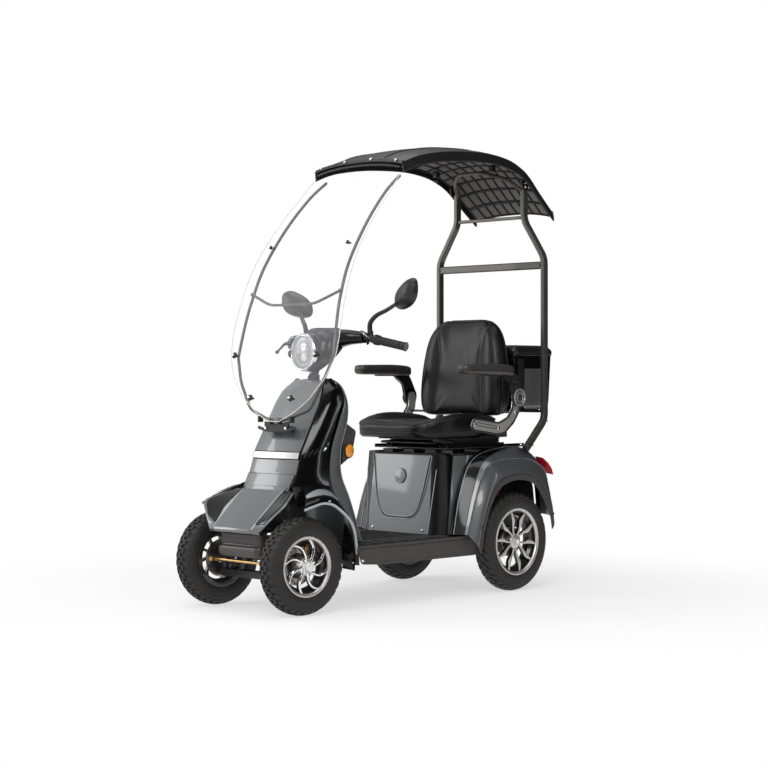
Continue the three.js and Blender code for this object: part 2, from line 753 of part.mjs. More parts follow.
// ---- steering ----
function steeringColumn() {
  const shaft = rod(columnPoint(300), columnPoint(1006), 14.5, 14);
  const arm = box(-12, 12, -1150, -1062, 290, 304);
  const boot = rod(columnPoint(812), columnPoint(900), 26, 14, 22);
  return join(shaft, arm, boot);
}

// The handlebar from its left end to the middle.
const BAR_POINTS = [[352, -677, 995], [205, -727, 1033], [120, -768, 1042], [0, -788, 1040]];
const BAR_END = v3(...BAR_POINTS[0]);
const BAR_INNER = v3(...BAR_POINTS[1]);

function barPath() {
  const fromMiddle = BAR_POINTS.map((point) => v3(...point)).reverse();
  return wholeRow(fromMiddle).reverse();
}

// A point of the grip's axis on one side: 0 at its inner end, 1 at the bar's end.
function gripPoint(side, t) {
  const point = BAR_INNER.clone().lerp(BAR_END, t);
  return v3(side * point.x, point.y, point.z);
}

function perch(side) {
  const clamp = rod(gripPoint(side, 0.0), gripPoint(side, 0.12), 16, 10);
  const root = gripPoint(side, 0.06);
  const arm = rod(root, root.clone().add(v3(0, -34, 6)), 8, 8);
  return join(clamp, arm);
}

function handlebar() {
  const bar = tube(barPath(), 11, 20, 8, 34);
  const stem = rod(columnPoint(1008), columnPoint(1052), 17, 12);
  return join(bar, stem, perch(-1), perch(1));
}

function grip(side) {
  const outer = rod(gripPoint(side, 0.2), gripPoint(side, 0.995), 17, 14);
  const bore = rod(gripPoint(side, 0.1), gripPoint(side, 1.1), 12, 14);
  return cut(outer, bore);
}

function brakeLever(side) {
  const root = gripPoint(side, 0.06).add(v3(side * 14, -46, 7));
  const fromRoot = (x, y, z) => root.clone().add(v3(side * x, y, z));
  const tip = fromRoot(142, 30, -34);
  const blade = smoothTube([root, fromRoot(34, -14, -6), fromRoot(90, 8, -20), tip], 5.5, 7, 6);
  const ball = at(new THREE.SphereGeometry(8.5, 8, 6), tip.x, tip.y, tip.z);
  const hub = rod(fromRoot(-2, 0, -9), fromRoot(-2, 0, 9), 8, 8);
  return join(blade, hub, ball);
}

// count points of an ellipse with half-axes a and b, placed by the function given.
function oval(count, a, b, place) {
  const points = [];
  for (let i = 0; i < count; i += 1) {
    const angle = 2 * Math.PI * i / count;
    points.push(place(a * Math.cos(angle), b * Math.sin(angle)));
  }
  return points;
}

// Carries a value towards the outline of a squarer oval with half-axis size.
const squarer = (value, size) => size * Math.sign(value) * Math.abs(value) ** 0.8;

function mirror(side) {
  const stalkPoints = [
    [197, -724, 1052], [199, -726, 1092], [225, -716, 1122], [262, -694, 1142], [300, -672, 1172],
  ];
  const stalk = smoothTube(stalkPoints.map(([x, y, z]) => v3(side * x, y, z)), 6, 8, 6);
  const ring = (y, scale) => oval(14, 1, 1, (c, q) => {
    const w = squarer(c, 70 * scale);
    const h = squarer(q, 48 * scale);
    return v3(side * (333 + w), y - 0.18 * w, 1196 + h + w * 0.22);
  });
  const rings = [[-684, 0.45], [-676, 0.8], [-664, 0.98], [-650, 1.0], [-647, 0.96]];
  return join(stalk, fixWinding(loft(rings.map(([y, scale]) => ring(y, scale)))));
}

// The cover round the headlight and stem: y, half-width, half-height and middle height.
const POD_RINGS = [
  [-874, 66, 66, 990], [-866, 84, 84, 992], [-838, 96, 90, 1000],
  [-800, 100, 76, 1016], [-764, 92, 50, 1036], [-742, 70, 30, 1044],
];
// The cover's arms along the handlebar: x, half-depth, half-height, z and y.
const COVER_ARM_RINGS = [
  [70, 44, 40, 1036, -792], [130, 34, 28, 1042, -770], [182, 26, 22, 1038, -742],
];

function barCover() {
  const podRings = POD_RINGS.map(([y, w, h, z]) => oval(16, w, h, (a, b) => v3(a, y, z + b)));
  const arms = [-1, 1].map((side) => loft(COVER_ARM_RINGS.map(([x, depth, height, z, y]) => (
    oval(12, depth, height, (a, b) => v3(side * x, y + a, z + b))
  ))));
  const bar = tube(barPath(), 14, 20, 6, 34);
  const column = rod(columnPoint(880), columnPoint(1058), 19, 14);
  const boot = rod(columnPoint(860), columnPoint(915), 28, 14, 24);
  return cut(join(loft(podRings), ...arms), bar, column, boot);
}

function headlight() {
  const profile = [[0, 0], [58, 2], [70, 8], [74, 18], [74, 30], [64, 37], [0, 37]];
  const points = profile.map(([r, h]) => new THREE.Vector2(r, h));
  return at(fixWinding(new THREE.LatheGeometry(points, 28)), 0, -912.2, 987);
}

// ---- mast and roof ----
function mastPost(side) {
  const x = side * MAST.x;
  const bends = [
    v3(x, MAST.footY, MAST.footZ),
    v3(x, MAST.kinkY, MAST.kinkZ),
    v3(x, 230, 1399),
    v3(side * 190, 226, 1565),
    v3(side * 190, 226, 1700),
  ];
  return sweep(boxSection(MAST.width, MAST.depth, 5), bentPath(bends, 28), 18);
}

function mast() {
  const fromMiddle = [v3(70, 92, 1768), v3(150, 160, 1738), v3(186, 222, 1690)];
  const hoopPoints = [...fromMiddle.slice().reverse().map((p) => v3(-p.x, p.y, p.z)), ...fromMiddle];
  const hoop = tube(hoopPoints, 8, 16, 6, 30);
  const bars = [box(-290, 290, 215, 239, 1351, 1383), box(-186, 186, 218, 232, 1570, 1584)];
  const feet = [-MAST.x, MAST.x].map((x) => box(x - 14, x + 14, 60, 140, 598, 604));
  return join(mastPost(-1), mastPost(1), ...bars, ...feet, hoop);
}

// Roof side line from front to rear: y, z of the side, half-width and crown above the side.
const ROOF_ROWS = [
  [-604, 1738, 245, 22], [-530, 1766, 245, 26], [-455, 1785, 244, 28], [-330, 1805, 242, 30],
  [-200, 1816, 240, 30], [-60, 1820, 238, 30], [60, 1808, 235, 28], [140, 1785, 232, 26],
  [209, 1750, 229, 24], [289, 1685, 224, 22], [386, 1610, 218, 20],
];

// The roof's surface, lowered by drop and narrowed by as much, with or without its side flange.
function roofGrid(drop, flange) {
  return ROOF_ROWS.map(([y, z, w, crown]) => {
    const half = [
      v3(0, y, z + crown - drop),
      v3((w - drop) * 0.5, y, z + crown * 0.75 - drop),
      v3((w - drop) * 0.9, y, z + crown * 0.16 - drop),
    ];
    if (flange) {
      half.push(v3(w, y, z - 6));
      half.push(v3(w + 3, y + 4, z - 38));
    }
    return wholeRow(half);
  });
}

function roofShell() {
  return skin(roofGrid(0, true), ROOF_THICKNESS);
}

function roofLiner() {
  return skin(roofGrid(12, false), 5);
}

// ---- seat ----
function seatPost() {
  const plate = box(-208, 208, -290, 205, 592.4, 598);
  const rails = [-SEAT_RAIL_X, SEAT_RAIL_X].map((x) => box(x - 16, x + 16, -260, 120, 598, 612));
  return join(plate, ...rails);
}

// A box between two distances from the middle, on one side of it.
function sideBox(side, x0, x1, y0, y1, z0, z1) {
  return box(Math.min(side * x0, side * x1), Math.max(side * x0, side * x1), y0, y1, z0, z1);
}

// A plate in Y and Z between two distances from the middle, on one side of it.
function sidePlateOn(side, outline, [x0, x1]) {
  return sidePlate(outline, Math.min(side * x0, side * x1), Math.max(side * x0, side * x1));
}

const BRACKET = [
  [-240, 700], [-246, 684], [-232, 672], [-85, 652], [-40, 657], [20, 700], [56, 748], [62, 800],
  [54, 822], [30, 822], [18, 804], [16, 762], [-15, 722], [-75, 697], [-228, 720],
];

function seatFrame() {
  const plate = box(-180, 180, -300, 80, 630, 636);
  const parts = [];
  for (const side of [-1, 1]) {
    parts.push(sideBox(side, SEAT_RAIL_X - 14, SEAT_RAIL_X + 14, -240, 90, 612.4, 632));
    parts.push(sidePlateOn(side, BRACKET, BRACKET_X));
    parts.push(sideBox(side, 150, 295, -60, -30, 640, 656));
    parts.push(sideBox(side, 140, 160, -60, -30, 634, 650));
  }
  return join(plate, ...parts);
}

// The cushion from front to rear: y, bottom, top and half-width.
const CUSHION_ROWS = [
  [-424, 660, 696, 150], [-400, 638, 704, 176], [-330, 637, 716, 222], [-240, 637, 722, 232],
  [-140, 658, 720, 232], [-40, 658, 716, 230], [-12, 660, 708, 222],
];

function seatCushion() {
  return loft(CUSHION_ROWS.map(([y, z0, z1, w]) => [
    v3(-w + 8, y, z0),
    v3(w - 8, y, z0),
    v3(w, y, z0 + 16),
    v3(w - 6, y, z1),
    v3(w * 0.7, y, z1 + 4),
    v3(0, y, z1 - 6),
    v3(-w * 0.7, y, z1 + 4),
    v3(-w + 6, y, z1),
    v3(-w, y, z0 + 16),
  ]));
}

// The backrest from bottom to top: z, front, back and half-width.
const BACKREST_ROWS = [
  [748, 4, 84, 212], [800, 10, 96, 224], [886, 14, 102, 220], [976, 20, 108, 208],
  [1041, 28, 112, 194], [1093, 44, 116, 160], [1122, 58, 112, 120],
];

function backrest() {
  return loft(BACKREST_ROWS.map(([z, y0, y1, w]) => [
    v3(-w + 20, y0, z),
    v3(0, y0 + 12, z),
    v3(w - 20, y0, z),
    v3(w, y0 + 26, z),
    v3(w, y1 - 26, z),
    v3(w - 26, y1, z),
    v3(-w + 26, y1, z),
    v3(-w, y1 - 26, z),
    v3(-w, y0 + 26, z),
  ]));
}

const ARM_WEB = [
  [78, 812], [70, 780], [44, 766], [14, 776], [6, 812],
  [-10, 870], [-60, 896], [-40, 914], [20, 906], [44, 872],
];
// The arm pad from front to rear: y, bottom, top and half-width.
const ARM_PAD_ROWS = [
  [-304, 908, 936, 20], [-290, 900, 942, 30], [-120, 900, 944, 31], [-10, 892, 938, 30],
  [8, 896, 930, 24],
];

function armrest(side) {
  const web = sidePlateOn(side, ARM_WEB, ARM_X);
  const pad = loft(ARM_PAD_ROWS.map(([y, z0, z1, w]) => {
    const section = [
      [-w, z0 + 6], [-w + 6, z0], [w - 6, z0], [w, z0 + 6],
      [w, z1 - 8], [w - 8, z1], [-w + 8, z1], [-w, z1 - 8],
    ];
    return section.map(([x, z]) => v3(side * ARM_PAD_X + x, y, z));
  }));
  return join(web, pad);
}

// ---- rear box ----
// A ring of the box at one height: half-width, front and back, with cut corners.
function boxRing(z, w, y0, y1) {
  const { front, rear } = BOX_CORNERS;
  return [
    v3(-w + front, y0, z),
    v3(w - front, y0, z),
    v3(w, y0 + front, z),
    v3(w, y1 - rear, z),
    v3(w - rear, y1, z),
    v3(-w + rear, y1, z),
    v3(-w, y1 - rear, z),
    v3(-w, y0 + front, z),
  ];
}

function rearBox() {
  const body = loft([
    boxRing(748, 186, 168, 392),
    boxRing(780, 196, 156, 404),
    boxRing(988, 204, 150, 410),
  ]);
  const hollow = loft([
    boxRing(753, 182, 172, 388),
    boxRing(785, 192, 160, 400),
    boxRing(995, 200, 154, 406),
  ]);
  const shelf = box(-190, 190, 216, 380, 738, 748.2);
  const ears = [-1, 1].map((side) => sideBox(side, 186, 286.6, 222, 240, 738, 748.2));
  return join(cut(body, hollow), shelf, ...ears);
}

function rearBoxLid() {
  const lid = (shrink, z0, z1) => loft([
    boxRing(z0, 206 - shrink, 148 + shrink, 413 - shrink),
    boxRing((z0 + z1) / 2, 205 - shrink, 140 + shrink, 410 - shrink),
    boxRing(z1, 180 - shrink, 156 + shrink, 380 - shrink),
  ]);
  return cut(lid(0, 988.4, 1027), lid(4, 980, 1022));
}

// ---- assembly ----
piece('chassis_frame', chassisFrame(), steel());
piece('floor_pan', floorPan(), satinBrown());
piece('floor_mat', floorMat(), rubber());
piece('nose_hood', noseHood(), metallicGrey());
piece('front_grille', frontGrille(), satinBrown());
piece('shield_shell', shieldShell(), glossBlack());
piece('shield_panel', shieldPanel(), metallicGrey());
piece('trim_strip', trimStrip(), chrome());
piece('leg_shield', legShield(), metallicGrey());
piece('glove_box', gloveBox(), satinBrown());
const leftFender = frontFender();
piece('front_fender_left', leftFender, glossBlack());
piece('front_fender_right', mirrored(leftFender), glossBlack());
piece('screen_frame', screenFrame(), frameTube());
piece('windscreen', windscreen(), clearSheet());
piece('battery_housing', batteryHousing(), metallicGrey());
piece('battery_panel', batteryPanel(), metallicGrey());
piece('charge_flap', chargeFlap(), metallicGrey());
piece('battery_pack', batteryPack(), satinBlack());
const leftRearFender = rearFender();
piece('rear_fender_left', leftRearFender, metallicGrey());
piece('rear_fender_right', mirrored(leftRearFender), metallicGrey());
const leftLamp = tailLamp();
piece('tail_lamp_left', leftLamp, redLens());
piece('tail_lamp_right', mirrored(leftLamp), redLens());

piece('rear_axle', rearAxle(), steel());
const leftRearShock = shock(224, 0, 236.4, 501.6, 20);
piece('rear_shock_left', leftRearShock, springRed());
piece('rear_shock_right', mirrored(leftRearShock), springRed());
piece('front_axle', frontAxle(), steel());
const leftFrontShock = shock(148, -1148, 146.4, 385.6, 18);
piece('front_shock_left', leftFrontShock, satinBlack());
piece('front_shock_right', mirrored(leftFrontShock), satinBlack());

const rearWheels = new THREE.Group();
scooter.add(rearWheels);
wheel('rear_left', REAR_WHEEL, 1, rearWheels);
wheel('rear_right', REAR_WHEEL, -1, rearWheels);

const up = v3(0, 0, 1);
const leftKnuckle = knuckle();
for (const [name, side] of [['left', 1], ['right', -1]]) {
  const turning = turnedGroup(v3(side * KINGPIN_X, FRONT_WHEEL.y, 0), up, STEER_REST);
  piece(`knuckle_${name}`, side > 0 ? leftKnuckle : mirrored(leftKnuckle), steel(), turning);
  wheel(`front_${name}`, FRONT_WHEEL, side, turning);
}

const tieRodMesh = piece('tie_rod', tieRod(), goldZinc());
tieRodMesh.position.x = STEERING_ARM * Math.sin(STEER_REST);

const steering = turnedGroup(COLUMN_POINT, columnAxis, STEER_REST);
piece('steering_column', steeringColumn(), steel(), steering);
piece('handlebar', handlebar(), satinBlack(), steering);
piece('bar_cover', barCover(), satinBlack(), steering);
piece('headlight', headlight(), chrome(), steering);
piece('grip_left', grip(1), rubber(), steering);
piece('throttle_grip', grip(-1), rubber(), steering);
piece('brake_lever_left', brakeLever(1), satinBlack(), steering);
piece('brake_lever_right', brakeLever(-1), satinBlack(), steering);
piece('mirror_left', mirror(1), satinBlack(), steering);
piece('mirror_right', mirror(-1), satinBlack(), steering);

piece('mast', mast(), frameTube());
piece('roof_shell', roofShell(), satinBlack());
piece('roof_liner', roofLiner(), satinBrown());
piece('rear_box', rearBox(), glossBlack());
piece('rear_box_lid', rearBoxLid(), satinBlack());
piece('seat_post', seatPost(), steel());
piece('seat_frame', seatFrame(), alloy());
piece('seat_cushion', seatCushion(), vinyl());
piece('backrest', backrest(), vinyl());
piece('armrest_left', armrest(1), satinBlack());
piece('armrest_right', armrest(-1), satinBlack());

export default scooter;
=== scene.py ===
"""Looks of a four-wheeled mobility scooter with a roof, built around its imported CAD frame.

Shapes are written in millimetres in the scooter's own layout frame: the origin is on the ground
under the rear axle, +X is the scooter's left, +Y its rear and +Z is up. to_row() moves a point
into the row frame, in metres.
"""
import json
import math

import bmesh
import bpy
from mathutils import Matrix, Vector
from mathutils.bvhtree import BVHTree
from mathutils.kdtree import KDTree


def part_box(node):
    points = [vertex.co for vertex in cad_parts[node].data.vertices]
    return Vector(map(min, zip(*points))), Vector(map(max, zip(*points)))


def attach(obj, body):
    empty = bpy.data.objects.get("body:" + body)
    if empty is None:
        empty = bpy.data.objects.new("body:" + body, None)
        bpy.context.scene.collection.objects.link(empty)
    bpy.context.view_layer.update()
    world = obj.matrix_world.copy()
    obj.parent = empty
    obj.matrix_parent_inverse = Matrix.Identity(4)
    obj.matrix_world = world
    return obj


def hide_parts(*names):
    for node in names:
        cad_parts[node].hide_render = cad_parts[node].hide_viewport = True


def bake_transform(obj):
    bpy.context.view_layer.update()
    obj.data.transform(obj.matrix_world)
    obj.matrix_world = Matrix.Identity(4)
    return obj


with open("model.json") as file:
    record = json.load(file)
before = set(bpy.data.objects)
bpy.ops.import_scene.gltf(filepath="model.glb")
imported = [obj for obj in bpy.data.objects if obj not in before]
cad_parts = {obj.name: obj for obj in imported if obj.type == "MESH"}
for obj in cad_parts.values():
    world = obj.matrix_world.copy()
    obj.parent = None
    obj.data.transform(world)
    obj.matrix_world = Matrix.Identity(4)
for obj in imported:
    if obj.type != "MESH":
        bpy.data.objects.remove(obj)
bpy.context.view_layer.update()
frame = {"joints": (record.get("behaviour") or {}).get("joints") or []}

MM = 0.001
REAR_AXLE_Y = sum(corner.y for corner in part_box("rim_rear_left")) / 2
MIRROR_X = Matrix.Scale(-1, 4, (1, 0, 0))
JOINTS = {joint["name"]: joint for joint in frame["joints"]}


def V(x, y, z):
    return Vector((x, y, z))


def to_row(point):
    return V(point.x * MM, point.y * MM + REAR_AXLE_Y, point.z * MM)


def turn_about(point, axis, angle):
    """A turn by angle about the axis through a point."""
    return Matrix.Translation(point) @ Matrix.Rotation(angle, 4, axis) @ Matrix.Translation(-point)


# ---- where the steered parts stand at rest ----
SPIN_AXIS = JOINTS["wheel_front_left_spin"]["axis"]
STEER_ANGLE = math.atan2(SPIN_AXIS[1], SPIN_AXIS[0])
COLUMN_RAKE = math.radians(20)
COLUMN_POINT = V(0, -851, 889)
COLUMN_AXIS = V(0, math.sin(COLUMN_RAKE), math.cos(COLUMN_RAKE))
KINGPIN_X = 188
STEERED = turn_about(COLUMN_POINT, COLUMN_AXIS, STEER_ANGLE)
FRONT_WHEEL_Y = -1148
KINGPINS = {side: turn_about(V(side * KINGPIN_X, FRONT_WHEEL_Y, 0), V(0, 0, 1), STEER_ANGLE)
            for side in (1, -1)}
SIDE_NAME = {1: "left", -1: "right"}
SIDE_PLACE = {1: Matrix.Identity(4), -1: MIRROR_X}


# ---- curves ----
def spline(points, count):
    """count points along a smooth curve through the given points (Catmull-Rom)."""
    last = len(points) - 1
    out = []
    for i in range(count):
        at = last * i / (count - 1)
        k = min(int(at), last - 1)
        t = at - k
        p0, p1, p2, p3 = (points[min(max(k + d, 0), last)] for d in (-1, 0, 1, 2))
        out.append(0.5 * ((2 * p1) + (p2 - p0) * t + (2 * p0 - 5 * p1 + 4 * p2 - p3) * t * t
                          + (3 * p1 - p0 - 3 * p2 + p3) * t ** 3))
    return out


def rounded(points, radius, steps=5, closed=False):
    """A polyline with each corner replaced by a short curve that starts radius before it."""
    out = []
    count = len(points)
    for i, corner in enumerate(points):
        if not closed and i in (0, count - 1):
            out.append(corner)
            continue
        before = points[i - 1] - corner
        after = points[(i + 1) % count] - corner
        reach = min(radius, before.length * 0.45, after.length * 0.45)
        start = corner + before.normalized() * reach
        end = corner + after.normalized() * reach
        for k in range(steps + 1):
            t = k / steps
            out.append(start * (1 - t) ** 2 + corner * 2 * t * (1 - t) + end * t * t)
    return out


def ring_outline(width, height, power=1.0, count=24):
    """Points of an ellipse, or of a squarer oval where power is under 1."""
    out = []
    for i in range(count):
        c, s = math.cos(math.tau * i / count), math.sin(math.tau * i / count)
        out.append(Vector((width * math.copysign(abs(c) ** power, c),
                           height * math.copysign(abs(s) ** power, s))))
    return out


def fine(rows, across, along):
    """A finer grid through a coarse one."""
    wide = [spline(row, across) for row in rows]
    columns = [spline([row[j] for row in wide], along) for j in range(across)]
    return [[column[i] for column in columns] for i in range(along)]


def flip(point):
    return V(-point.x, point.y, point.z)


def whole(half):
    """A row from the right edge to the left one, from its middle-to-left half."""
    return [flip(p) for p in reversed(half[1:])] + half


def table(rows):
    """Rows of numbers as vectors, so that they can be splined."""
    return [Vector(row) for row in rows]


def row_at(rows, value):
    """The row of a table at a value of its rising first column."""
    for low, high in zip(rows, rows[1:]):
        if value <= high[0]:
            return low.lerp(high, (value - low[0]) / (high[0] - low[0]))
    return rows[-1]


# ---- shapes: (points, faces), each one a closed surface ----
def loft(rings, caps=True):
    """A skin through rings of points, closed at both ends by flat caps."""
    count = len(rings[0])
    faces = []
    for i in range(len(rings) - 1):
        for j in range(count):
            a, b = i * count + j, i * count + (j + 1) % count
            faces.append((a, b, b + count, a + count))
    if caps:
        faces.append(tuple(reversed(range(count))))
        faces.append(tuple(range((len(rings) - 1) * count, len(rings) * count)))
    return [p for ring in rings for p in ring], faces


def sheet(grid, thickness, offset=0.0):
    """A grid of points thickened along its normals; offset lifts it off the grid first."""
    rows, cols = len(grid), len(grid[0])
    top, bottom = [], []
    for i in range(rows):
        for j in range(cols):
            along = grid[min(i + 1, rows - 1)][j] - grid[max(i - 1, 0)][j]
            across = grid[i][min(j + 1, cols - 1)] - grid[i][max(j - 1, 0)]
            normal = along.cross(across).normalized()
            top.append(grid[i][j] + normal * offset)
            bottom.append(grid[i][j] + normal * (offset + thickness))
    layer = rows * cols
    faces = []
    for i in range(rows - 1):
        for j in range(cols - 1):
            a = i * cols + j
            faces.append((a, a + 1, a + cols + 1, a + cols))
            faces.append((layer + a, layer + a + cols, layer + a + cols + 1, layer + a + 1))
    edge = ([j for j in range(cols)] + [i * cols + cols - 1 for i in range(1, rows)]
            + [(rows - 1) * cols + j for j in range(cols - 2, -1, -1)]
            + [i * cols for i in range(rows - 2, 0, -1)])
    for a, b in zip(edge, edge[1:] + edge[:1]):
        faces.append((b, a, layer + a, layer + b))
    return top + bottom, faces


def sweep(path, section, scales=None, up=None, closed=False):
    """A section of (sideways, upwards) points carried along a path."""
    count = len(path)
    rings = []
    side = None
    for i, point in enumerate(path):
        before = path[i - 1] if closed or i else path[0]
        after = path[(i + 1) % count] if closed or i < count - 1 else path[-1]
        tangent = (after - before).normalized()
        if up is not None:
            side = tangent.cross(up).normalized()
        elif side is None:
            side = tangent.orthogonal().normalized()
        else:
            side = (side - tangent * side.dot(tangent)).normalized()
        lift = side.cross(tangent)
        scale = scales[i] if scales else 1
        rings.append([point + (side * a + lift * b) * scale for a, b in section])
    if closed:
        points, faces = loft(rings + [rings[0]], caps=False)
        keep = len(rings) * len(section)
        return points[:keep], [tuple(k % keep for k in face) for face in faces]
    return loft(rings)


def tube(path, radius, sides=12, scales=None, closed=False):
    """A round rod along a path; scales change its radius from point to point."""
    return sweep(path, ring_outline(radius, radius, count=sides), scales, closed=closed)


def bar(path, width, height, up, corner=0.0):
    """A flat bar: width sideways and height along up, with cut corners."""
    w, h, c = width / 2, height / 2, corner
    section = [(-w + c, -h), (w - c, -h), (w, -h + c), (w, h - c),
               (w - c, h), (-w + c, h), (-w, h - c), (-w, -h + c)]
    if not corner:
        section = section[0:8:2]
    return sweep(path, section, up=up)


def lathe(profile, segments=32):
    """A solid of revolution about X from (radius, x) points; the profile closes on itself."""
    starts, points, faces = [], [], []
    for radius, x in profile:
        starts.append(len(points))
        turns = segments if radius > 0 else 1
        points += [V(x, radius * math.cos(math.tau * k / segments),
                     radius * math.sin(math.tau * k / segments)) for k in range(turns)]
    for i, (radius, _) in enumerate(profile):
        j = (i + 1) % len(profile)
        other = profile[j][0]
        for k in range(segments):
            n = (k + 1) % segments
            a = [starts[i] + k, starts[i] + n] if radius > 0 else [starts[i]]
            b = [starts[j] + n, starts[j] + k] if other > 0 else [starts[j]]
            if len(a) + len(b) > 2:
                faces.append(tuple(a + b))
    return points, faces


def prism(outline, depth, place):
    """An outline in (u, v) carried along w from 0 to depth; place is (u, v, w) to the layout."""
    rings = [[place @ V(p[0], p[1], w) for p in outline] for w in (0, depth)]
    return loft(rings)


def side_plate(outline, x0, x1):
    """An outline in Y and Z between two X."""
    return loft([[V(x, p[0], p[1]) for p in outline] for x in (x0, x1)])


def front_plate(outline, y0, y1):
    """An outline in X and Z between two Y."""
    return loft([[V(p[0], y, p[1]) for p in outline] for y in (y0, y1)])


def rectangle(a0, a1, b0, b1, corner, steps=5):
    """A rectangle between two values of each of its axes, with rounded corners."""
    corners = table([(a0, b0), (a1, b0), (a1, b1), (a0, b1)])
    return rounded(corners, corner, steps, closed=True) if corner else corners


def block(x0, x1, y0, y1, z0, z1, corner=0.0):
    """A box whose upright edges are rounded by the corner radius."""
    outline = rectangle(x0, x1, y0, y1, corner)
    return loft([[V(p[0], p[1], z) for p in outline] for z in (z0, z1)])


def ball(centre, radius, segments=16):
    """A sphere turned about X."""
    steps = segments // 2
    profile = [(radius * math.sin(math.pi * k / steps), -radius * math.cos(math.pi * k / steps))
               for k in range(steps + 1)]
    profile[0], profile[-1] = (0, -radius), (0, radius)
    points, faces = lathe(profile, segments)
    return [p + centre for p in points], faces


def facing(point, normal):
    """Carries a turned shape's X axis onto a direction at a point."""
    turn = Vector((1, 0, 0)).rotation_difference(Vector(normal)).to_matrix().to_4x4()
    return Matrix.Translation(point) @ turn


def moved(shape, place):
    """A shape carried by a matrix; a mirrored one keeps its faces outwards."""
    points, faces = shape
    if place.determinant() < 0:
        faces = [tuple(reversed(face)) for face in faces]
    return [place @ p for p in points], faces


def merged(*shapes):
    """Several shapes as one."""
    points, faces = [], []
    for some_points, some_faces in shapes:
        start = len(points)
        points = points + some_points
        faces = faces + [tuple(start + k for k in face) for face in some_faces]
    return points, faces


def both(shape):
    """A shape and its mirror image on the right side."""
    return merged(shape, moved(shape, MIRROR_X))


def rod(start, end, radius, sides=16, end_radius=None):
    """A straight round bar, tapered where end_radius is given."""
    scales = None if end_radius is None else [1, end_radius / radius]
    return tube([start, end], radius, sides, scales)


def bolt(point, normal, radius=6.0, height=4.0):
    """A domed socket-head screw."""
    profile = [(0, height * 0.45), (radius * 0.42, height * 0.45), (radius * 0.48, height),
               (radius * 0.8, height * 0.86), (radius, height * 0.35), (radius, 0), (0, 0)]
    return moved(lathe(profile, 18), facing(point, normal))


def surface(grid, u, v):
    """A point of a grid, with u across it and v along it, both from 0 to 1."""
    rows, cols = len(grid) - 1, len(grid[0]) - 1
    i, j = min(int(v * rows), rows - 1), min(int(u * cols), cols - 1)
    s, t = v * rows - i, u * cols - j
    near = grid[i][j].lerp(grid[i][j + 1], t)
    far = grid[i + 1][j].lerp(grid[i + 1][j + 1], t)
    return near.lerp(far, s)


def part_of(grid, u0, u1, v0, v1, across=8, along=16):
    """The part of a grid between two u and two v."""
    return [[surface(grid, u0 + (u1 - u0) * j / (across - 1), v0 + (v1 - v0) * i / (along - 1))
             for j in range(across)] for i in range(along)]


# ---- pieces ----
class Piece:
    """One visible piece that rides on one CAD body."""

    def __init__(self, name, body, slot):
        self.name, self.body, self.slot = name, body, slot
        self.points, self.faces, self.finishes, self.materials = [], [], [], []

    def add(self, shape, material, place=None):
        points, faces = moved(shape, place) if place is not None else shape
        start = len(self.points)
        if material not in self.materials:
            self.materials.append(material)
        index = self.materials.index(material)
        self.points += points
        self.faces += [tuple(start + k for k in face) for face in faces]
        self.finishes += [index] * len(faces)
        return self

    def mesh_object(self):
        """The shapes added so far as one Blender object, with its faces outwards."""
        mesh = bpy.data.meshes.new(self.name)
        mesh.from_pydata([to_row(p) for p in self.points], [], self.faces)
        for material in self.materials:
            mesh.materials.append(material)
        mesh.polygons.foreach_set("material_index", self.finishes)
        tidy = bmesh.new()
        tidy.from_mesh(mesh)
        bmesh.ops.recalc_face_normals(tidy, faces=tidy.faces)
        tidy.to_mesh(mesh)
        tidy.free()
        obj = bpy.data.objects.new(self.name, mesh)
        bpy.context.scene.collection.objects.link(obj)
        return obj

    def make(self, replaces=(), bevel=0.0, sharp=32):
        """bevel is the edge radius in mm; edges over sharp degrees stay creased."""
        obj = self.mesh_object()
        finish_mesh(obj, bevel, sharp)
        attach(obj, self.body)
        return self.declare(obj, replaces)

    def declare(self, obj, replaces):
        """Hides the CAD nodes that the piece stands for."""
        if replaces:
            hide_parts(*replaces)
        return obj


def finish_mesh(obj, bevel, sharp):
    """Smooth shading, with bevelled or creased edges."""
    mesh = obj.data
    mesh.polygons.foreach_set("use_smooth", [True] * len(mesh.polygons))
    if bevel:
        edges = obj.modifiers.new("soft_edges", "BEVEL")
        edges.width = bevel * MM
        edges.segments = 2
        edges.limit_method = "ANGLE"
        edges.angle_limit = math.radians(sharp)
        edges.use_clamp_overlap = True
        weighted = obj.modifiers.new("flat_faces", "WEIGHTED_NORMAL")
        weighted.keep_sharp = True
    else:
        mesh.set_sharp_from_angle(angle=math.radians(sharp))


